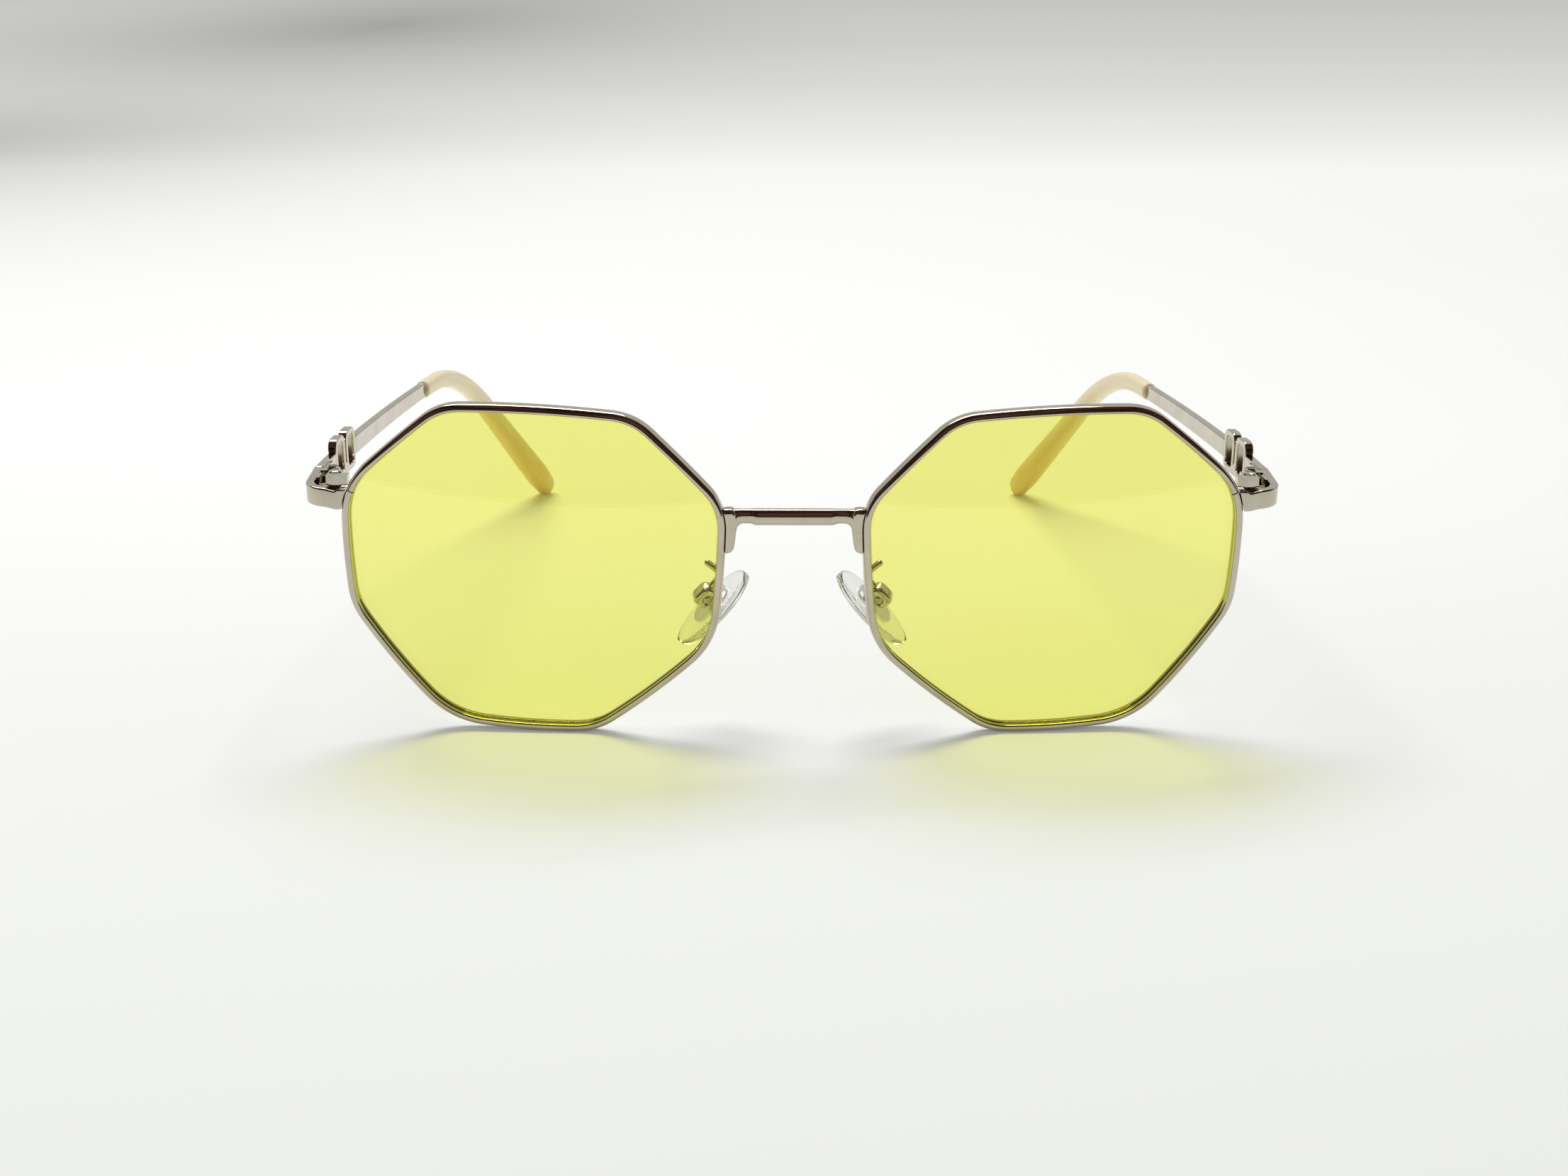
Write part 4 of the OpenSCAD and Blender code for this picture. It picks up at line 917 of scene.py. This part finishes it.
# Pad box: a rounded block over the lug of the insert, with a screw through both, in the pad's axes
INSERT_T, ROCK_GAP, LUG_R, TURN_GAP = 0.4, 0.4, 0.8, 0.05
BOX_WALL, BOX_BACK, BOX_LEN, BOX_W, BOX_SHIFT = 0.6, 1.0, 3.5, 2.4, 1.1
BOX_EDGE, BOX_INNER_R, BOX_OUTER_R = 0.62, 0.8, 1.2
PIN_D, PIN_HEAD_D, PIN_GAP, PIN_EDGE = 0.7, 1.1, 0.02, 0.06
DISH_D, DISH, DISH_SLOPE, SEAT_GAP = 1.75, 0.26, 0.18, 0.01
NOTCH_W, NOTCH_DEPTH = 0.18, 0.125
BOX_BOTTOM = PAD_T / 2 + SOLDER_GAP + INSERT_T + ROCK_GAP
PIN_X = BOX_BOTTOM + LUG_R
BOX_FLOOR = PIN_X + LUG_R + TURN_GAP
BOX_TOP = BOX_FLOOR + BOX_BACK
BOX_FRONT, SLOT_HALF = -BOX_W / 2, BOX_W / 2 - BOX_WALL
SEAT = BOX_FRONT + DISH + SEAT_GAP
HEAD_H, HEAD_EDGE, PIN_SINK, SEAT_HOLD = 0.235, 0.04, 0.02, 0.002
# Rows of the dish: radius beyond its own, and depth in the block's front
DISH_ROWS = ((0.3, -0.2), (0, 0.05), (-0.1, DISH * 0.6), (-DISH_SLOPE, DISH))
# Rows of the domed head: share of its radius, and height over the seat
HEAD_ROWS = ((1, 0.13), (0.92, 0.18), (0.6, 0.22), (0.2, HEAD_H))
# How far the cutters of the slot and the notch reach past what they cut
SLOT_REACH, NOTCH_FRONT, NOTCH_REACH = 1, 0.5, 1


def turned(profile):
    """A skin turned round the axis of the pad screw, from rows of (radius, place along it)."""
    return skins([
        [(PIN_X + r * math.cos(g), y, BOX_SHIFT + r * math.sin(g)) for g in turns(SCREW_POINTS)]
        for r, y in profile
    ])


def block(low, high):
    """A skin over a box between two corners."""
    (x0, y0, z0), (x1, y1, z1) = low, high
    return skins([[(x0, y0, z), (x1, y0, z), (x1, y1, z), (x0, y1, z)] for z in (z0, z1)])


def carved(solid, cutters):
    """Points and faces of a skin after other skins are cut out of it, placed by the pad's axes."""
    parts = []
    for points, faces in [solid, *cutters]:
        mesh = bpy.data.meshes.new("carving")
        mesh.from_pydata(points, [], faces)
        parts.append(add_object("carving", mesh))
    for cutter in parts[1:]:
        cut = parts[0].modifiers.new("cut", "BOOLEAN")
        cut.operation, cut.solver, cut.object = "DIFFERENCE", "EXACT", cutter
    result = bpy.data.meshes.new_from_object(parts[0].evaluated_get(bpy.context.evaluated_depsgraph_get()))
    points = [pad_point(v.co) for v in result.vertices]
    faces = [tuple(face.vertices) for face in result.polygons]
    meshes = [obj.data for obj in parts] + [result]
    for obj in parts:
        bpy.data.objects.remove(obj)
    for mesh in meshes:
        bpy.data.meshes.remove(mesh)
    return points, faces


def pad_drum(side):
    """The block, with a slot for the lug, a bore for the screw and a dished seat for its head."""
    mid, half_x, half_z = (BOX_BOTTOM + BOX_TOP) / 2, (BOX_TOP - BOX_BOTTOM) / 2, BOX_LEN / 2
    corners = [(-half_x, -half_z), (half_x, -half_z), (half_x, half_z), (-half_x, half_z)]
    outline = rounded(corners, [BOX_INNER_R, BOX_OUTER_R, BOX_OUTER_R, BOX_INNER_R], 8)
    rows = []
    for t in spaced(0, 1, 7):
        g = math.pi / 2 * t
        rows.append((BOX_EDGE * (1 - math.sin(g)), BOX_FRONT + BOX_EDGE * (1 - math.cos(g))))
    rows += [(inset, -y) for inset, y in reversed(rows)]
    solid = skins([
        [(mid + p.x * (1 - inset / half_x), y, BOX_SHIFT + p.y * (1 - inset / half_z)) for p in outline]
        for inset, y in rows
    ])
    dish = turned([(DISH_D / 2 + across, BOX_FRONT + depth) for across, depth in DISH_ROWS])
    bore_r = PIN_D / 2 + PIN_GAP
    bore = turned([(bore_r, -BOX_W), (bore_r, BOX_W)])
    slot_end = BOX_SHIFT + LUG_R + 2 * TURN_GAP
    slot = block((BOX_BOTTOM - SLOT_REACH, -SLOT_HALF, BOX_SHIFT - BOX_LEN), (BOX_FLOOR, SLOT_HALF, slot_end))
    piece(f"pad_drum_{side}", [f"pad_box_{side}"], *carved(solid, [dish, bore, slot]), "soldered_metal")


def pad_pin(side):
    """Screw with a slotted, slightly domed head that lies in the dish of the box."""
    r, head, tail = PIN_D / 2, PIN_HEAD_D / 2, BOX_W / 2 - PIN_SINK
    shank = [(r - PIN_EDGE, tail), (r, tail - PIN_EDGE), (r, SEAT + SEAT_HOLD), (r, SEAT)]
    dome = [(head - HEAD_EDGE, SEAT), (head, SEAT - HEAD_EDGE)]
    dome += [(head * share, SEAT - rise) for share, rise in HEAD_ROWS]
    notch_floor = SEAT - HEAD_H + NOTCH_DEPTH
    notch = block(
        (PIN_X - NOTCH_W / 2, SEAT - NOTCH_FRONT, BOX_SHIFT - NOTCH_REACH),
        (PIN_X + NOTCH_W / 2, notch_floor, BOX_SHIFT + NOTCH_REACH),
    )
    solid = turned(shank + dome)
    piece(f"slotted_pad_pin_{side}", [f"pad_screw_{side}"], *carved(solid, [notch]), "screw_metal")


# Pad arm: a wire from the back of the rim to the top of the box, with a short stub out along the rim
ARM_D, ARM_Q, ARM_ROOT_X, ARM_SEAT, ARM_TAIL = 1.0, NOSE_CORNER + 0.755, 1.1, 0.2, 0.8
ARM_BACK, ARM_DROP = Vector((0, 3.5, 0.4)), 2
ARM_STUB = Vector((1.35, 0.1, 1.05))
# Rings in each round end of the stub, and how far round a quarter circle they go
STUB_STEPS, STUB_CAP = 6, 0.985


def arm_line():
    """Points of the wire on one smooth curve, and the start of the curve."""
    seat_x, box_end = (BOX_BOTTOM + BOX_TOP) / 2 + ARM_SEAT, BOX_SHIFT + BOX_LEN / 2
    root = Vector(edge_point(ARM_Q, HALF)) + Vector((ARM_ROOT_X, ARM_D / 2 + SEAM_GAP / 2, 0))
    end = pad_point((seat_x, 0, box_end + SOLDER_GAP))
    top = pad_point((seat_x, 0, box_end + ARM_TAIL))
    knots = (root, root + ARM_BACK, top + (top - end).normalized() * ARM_DROP, top)
    points = []
    for t in spaced(0, 1, 32):
        weights = ((1 - t) ** 3, 3 * t * (1 - t) ** 2, 3 * t * t * (1 - t), t ** 3)
        points.append(sum((knot * w for knot, w in zip(knots, weights)), Vector()))
    return points + [end], root


def wire(points):
    """Rings of the round wire along points."""
    rings = []
    last = len(points) - 1
    for k, p in enumerate(points):
        d = (points[min(k + 1, last)] - points[max(k - 1, 0)]).normalized()
        u = d.cross(Vector((1, 0, 0))).normalized()
        rings.append(circle(p, u, d.cross(u), ARM_D / 2))
    return rings


def arm_stub(root):
    """Rings of the short stub, which is round at both ends."""
    r, along = ARM_D / 2, ARM_STUB.normalized()
    u = ARM_STUB.cross(Vector((0, 1, 0))).normalized()
    v = along.cross(u)
    rings = []
    for start, steps in ((root, range(-STUB_STEPS, 1)), (root + ARM_STUB, range(STUB_STEPS + 1))):
        for k in steps:
            g = math.pi / 2 * k / STUB_STEPS * STUB_CAP
            rings.append(circle(start + along * r * math.sin(g), u, v, r * math.cos(g)))
    return rings


def pad_arm(side):
    line, root = arm_line()
    points, faces = skins(wire(line), arm_stub(root))
    if side == "left":
        # Reversed faces still look outwards when piece() has mirrored the points
        faces = [face[::-1] for face in faces]
    piece(f"wire_arm_{side}", [f"pad_arm_{side}"], points, faces, "soldered_metal", sharp=50)


bridge()
for side in SIDES:
    rim(side)
    lens(side)
    endpiece(side)
    temple(side)
    tip(side)
    ornament(side)
    nose_pad(side)
    pad_drum(side)
    pad_pin(side)
    pad_arm(side)

# CAD nodes that keep their shape get a material of their own
NODE_FINISHES = {
    "rim_lock_lower": SOLDERED,
    "rim_lock_upper": SOLDERED,
    "rim_lock_screw": SCREW,
    "front_hinge_leaf": SOLDERED,
    "temple_hinge_leaf": SOLDERED,
    "hinge_screw": SCREW,
    "pad_insert": SATIN,
}

for name in NODES:
    finish = NODE_FINISHES.get(name.rsplit("_", 1)[0])
    if finish:
        slots = NODES[name].data.materials
        slots.clear()
        slots.append(finish)

# Camera at the photograph's viewing angle; the image width and focal length are in the photograph's pixels
IMAGE_W, FOCAL_PX, SENSOR = 2212, 2700, 36
CAMERA_AT = (-5.23, -259.28, 114.36)
YAW, PITCH, ROLL = math.radians(-0.845), math.radians(19.244), math.radians(0.371)


def camera():
    data = bpy.data.cameras.new("camera")
    data.sensor_width = SENSOR
    data.lens = FOCAL_PX * SENSOR / IMAGE_W
    data.clip_start, data.clip_end = 0.01, 50
    obj = add_object("camera", data)
    turn = (
        Matrix.Rotation(YAW, 4, "Z")
        @ Matrix.Rotation(math.pi / 2 - PITCH, 4, "X")
        @ Matrix.Rotation(ROLL, 4, "Z")
    )
    obj.matrix_world = Matrix.Translation(point(CAMERA_AT)) @ turn
    bpy.context.scene.camera = obj


# Stage: the table runs far back, and its tone at a depth is (Y, red, green, blue); the grey far back is
# painted shade, where less light falls
TABLE_HALF = 6
TABLE_NEAR, TABLE_FAR = -0.2, 2.6
TABLE_DEPTHS = [
    (-0.2, 0.875, 0.89, 0.87), (-0.115, 0.89, 0.905, 0.885), (-0.05, 0.885, 0.895, 0.88),
    (0.04, 0.905, 0.905, 0.90), (0.1, 0.90, 0.90, 0.895), (0.2, 0.885, 0.885, 0.88),
    (0.36, 0.885, 0.885, 0.875), (0.617, 0.93, 0.93, 0.915), (0.82, 0.81, 0.81, 0.785),
    (1.12, 0.70, 0.70, 0.675), (1.64, 0.62, 0.62, 0.60), (2.6, 0.56, 0.56, 0.54),
]
TABLE_TONES = [((y - TABLE_NEAR) / (TABLE_FAR - TABLE_NEAR), (r, g, b)) for y, r, g, b in TABLE_DEPTHS]
# Painted shade: darker patches on the far table, as (X, Y, reach in X, reach in Y, depth)
SHADE_PATCHES = [(-0.42, 1.9, 0.65, 2.2, 0.38), (-0.48, 0.7, 0.5, 0.5, 0.42)]
# Share of the table's own glow for mirrors and the eye, near and far, and where it changes
GLOW_NEAR, GLOW_FAR, GLOW_FROM, GLOW_TO = 0.1, 1, 0.1, 0.7
# The dark side of the room, behind the viewer: an arch that only mirrors see
ARCH_START_Y, ARCH_FOOT_Z, ARCH_R, ARCH_HALF_W, ARCH_DEGREES = -0.20, 0.0005, 0.55, 1.6, 100
# Share of the room's brightness that falls on things; mirrors show all of it
ROOM_LIGHT = 0.7
WINDOW_AT, WINDOW_AIM, WINDOW_SIZE, WINDOW_POWER = (-0.15, 0.48, 1.0), (0, 0, 0.02), (0.9, 0.38), 9.6


def stage_mesh(name, verts, faces, mat):
    mesh = bpy.data.meshes.new(name)
    mesh.from_pydata(verts, [], faces)
    mesh.materials.append(mat)
    obj = add_object(name, mesh)
    return obj


def seen_rays(nodes, links):
    """1 for rays from the camera, a mirror or glass, and 0 for those that carry light."""
    path = nodes.new("ShaderNodeLightPath")
    seen = path.outputs["Is Camera Ray"]
    for ray in ("Is Glossy Ray", "Is Transmission Ray"):
        seen = combine(nodes, links, "MAXIMUM", seen, path.outputs[ray])
    return seen


def shade_oval(nodes, links, place, tone, shade_patch):
    """A colour made darker in an oval of the table, as painted shade."""
    x, y, reach_x, reach_y, depth = shade_patch
    mapping = nodes.new("ShaderNodeMapping")
    set_inputs(mapping, {"Location": (-x / reach_x, -y / reach_y, 0), "Scale": (1 / reach_x, 1 / reach_y, 1)})
    links.new(place, mapping.inputs["Vector"])
    blob = nodes.new("ShaderNodeTexGradient")
    blob.gradient_type = "QUADRATIC_SPHERE"
    links.new(mapping.outputs["Vector"], blob.inputs["Vector"])
    scaled = nodes.new("ShaderNodeVectorMath")
    scaled.operation = "SCALE"
    links.new(tone, scaled.inputs[0])
    links.new(map_range(nodes, links, blob.outputs["Fac"], 1, 1 - depth), scaled.inputs["Scale"])
    return scaled.outputs["Vector"]


def table_top(nodes, links, shader):
    """White table, painted grey with distance as painted shade; it glows to mirrors and to the eye, so its
    shadows stay light.
    """
    place = nodes.new("ShaderNodeNewGeometry").outputs["Position"]
    y = axis(nodes, links, place, "Y")
    depth = map_range(nodes, links, y, 0, 1, TABLE_NEAR, TABLE_FAR)
    tone = ramp(nodes, links, depth, TABLE_TONES)
    # Painted shade in ovals of the far table
    for shade_patch in SHADE_PATCHES:
        tone = shade_oval(nodes, links, place, tone, shade_patch)
    links.new(tone, shader.inputs["Base Color"])
    set_inputs(shader, {"Roughness": 0.9, "Specular IOR Level": 0.1})
    bump(nodes, links, shader, noise(nodes, links, 1500, 4), 0.05, 0.0001)
    far = map_range(nodes, links, y, GLOW_NEAR, GLOW_FAR, GLOW_FROM, GLOW_TO)
    share = combine(nodes, links, "MULTIPLY", seen_rays(nodes, links), far)
    glow = nodes.new("ShaderNodeEmission")
    links.new(tone, glow.inputs["Color"])
    mixed_surface(nodes, links, share, shader.outputs["BSDF"], glow.outputs["Emission"])


def table():
    h = TABLE_HALF
    corners = [(-h, -h, 0), (h, -h, 0), (h, h, 0), (-h, h, 0)]
    stage_mesh("table", corners, [(0, 1, 2, 3)], material("table_white", table_top))


def dark_room_mirrored(nodes, links, shader):
    # Dark sheet that stands for the shaded side of the room; only mirrors see it, as the dark, partly
    # reddish-brown bands in the metal
    shades = [(0.35, (0.008, 0.005, 0.004)), (0.68, (0.16, 0.075, 0.05))]
    links.new(ramp(nodes, links, noise(nodes, links, 6, 2), shades), shader.inputs["Base Color"])
    set_inputs(shader, {"Roughness": 1, "Specular IOR Level": 0})


def dark_side():
    rows = [(ARCH_START_Y, ARCH_FOOT_Z)]
    for degrees in spaced(0, ARCH_DEGREES, 16):
        g = math.radians(degrees)
        rows.append((-ARCH_R * math.cos(g), ARCH_FOOT_Z + ARCH_R * math.sin(g)))
    verts = [(x, y, z) for y, z in rows for x in (-ARCH_HALF_W, ARCH_HALF_W)]
    faces = [(2 * k, 2 * k + 1, 2 * k + 3, 2 * k + 2) for k in range(len(rows) - 1)]
    obj = stage_mesh("dark_side", verts, faces, material("dark_room_mirrored", dark_room_mirrored))
    obj.visible_camera = obj.visible_diffuse = obj.visible_shadow = False
    obj.visible_transmission = obj.visible_volume_scatter = False


def window():
    """A soft lamp above and behind."""
    data = bpy.data.lights.new("window", "AREA")
    data.shape = "RECTANGLE"
    data.size, data.size_y = WINDOW_SIZE
    data.energy = WINDOW_POWER
    obj = add_object("window", data)
    obj.location = WINDOW_AT
    obj.rotation_mode = "QUATERNION"
    obj.rotation_quaternion = (Vector(WINDOW_AIM) - Vector(WINDOW_AT)).to_track_quat("-Z", "Y")


def room():
    """Pale light from all round, a little darker towards the horizon."""
    world = bpy.data.worlds.new("room")
    bpy.context.scene.world = world
    world.use_nodes = True
    nodes, links = world.node_tree.nodes, world.node_tree.links
    z = axis(nodes, links, nodes.new("ShaderNodeTexCoord").outputs["Generated"], "Z")
    tone = ramp(nodes, links, z, [(0, (0.55, 0.55, 0.53)), (0.5, (0.66, 0.66, 0.65))])
    background = nodes["Background"].inputs
    links.new(tone, background["Color"])
    links.new(map_range(nodes, links, seen_rays(nodes, links), ROOM_LIGHT, 1), background["Strength"])


camera()
table()
dark_side()
room()
window()
bpy.context.scene.view_settings.view_transform = "Standard"
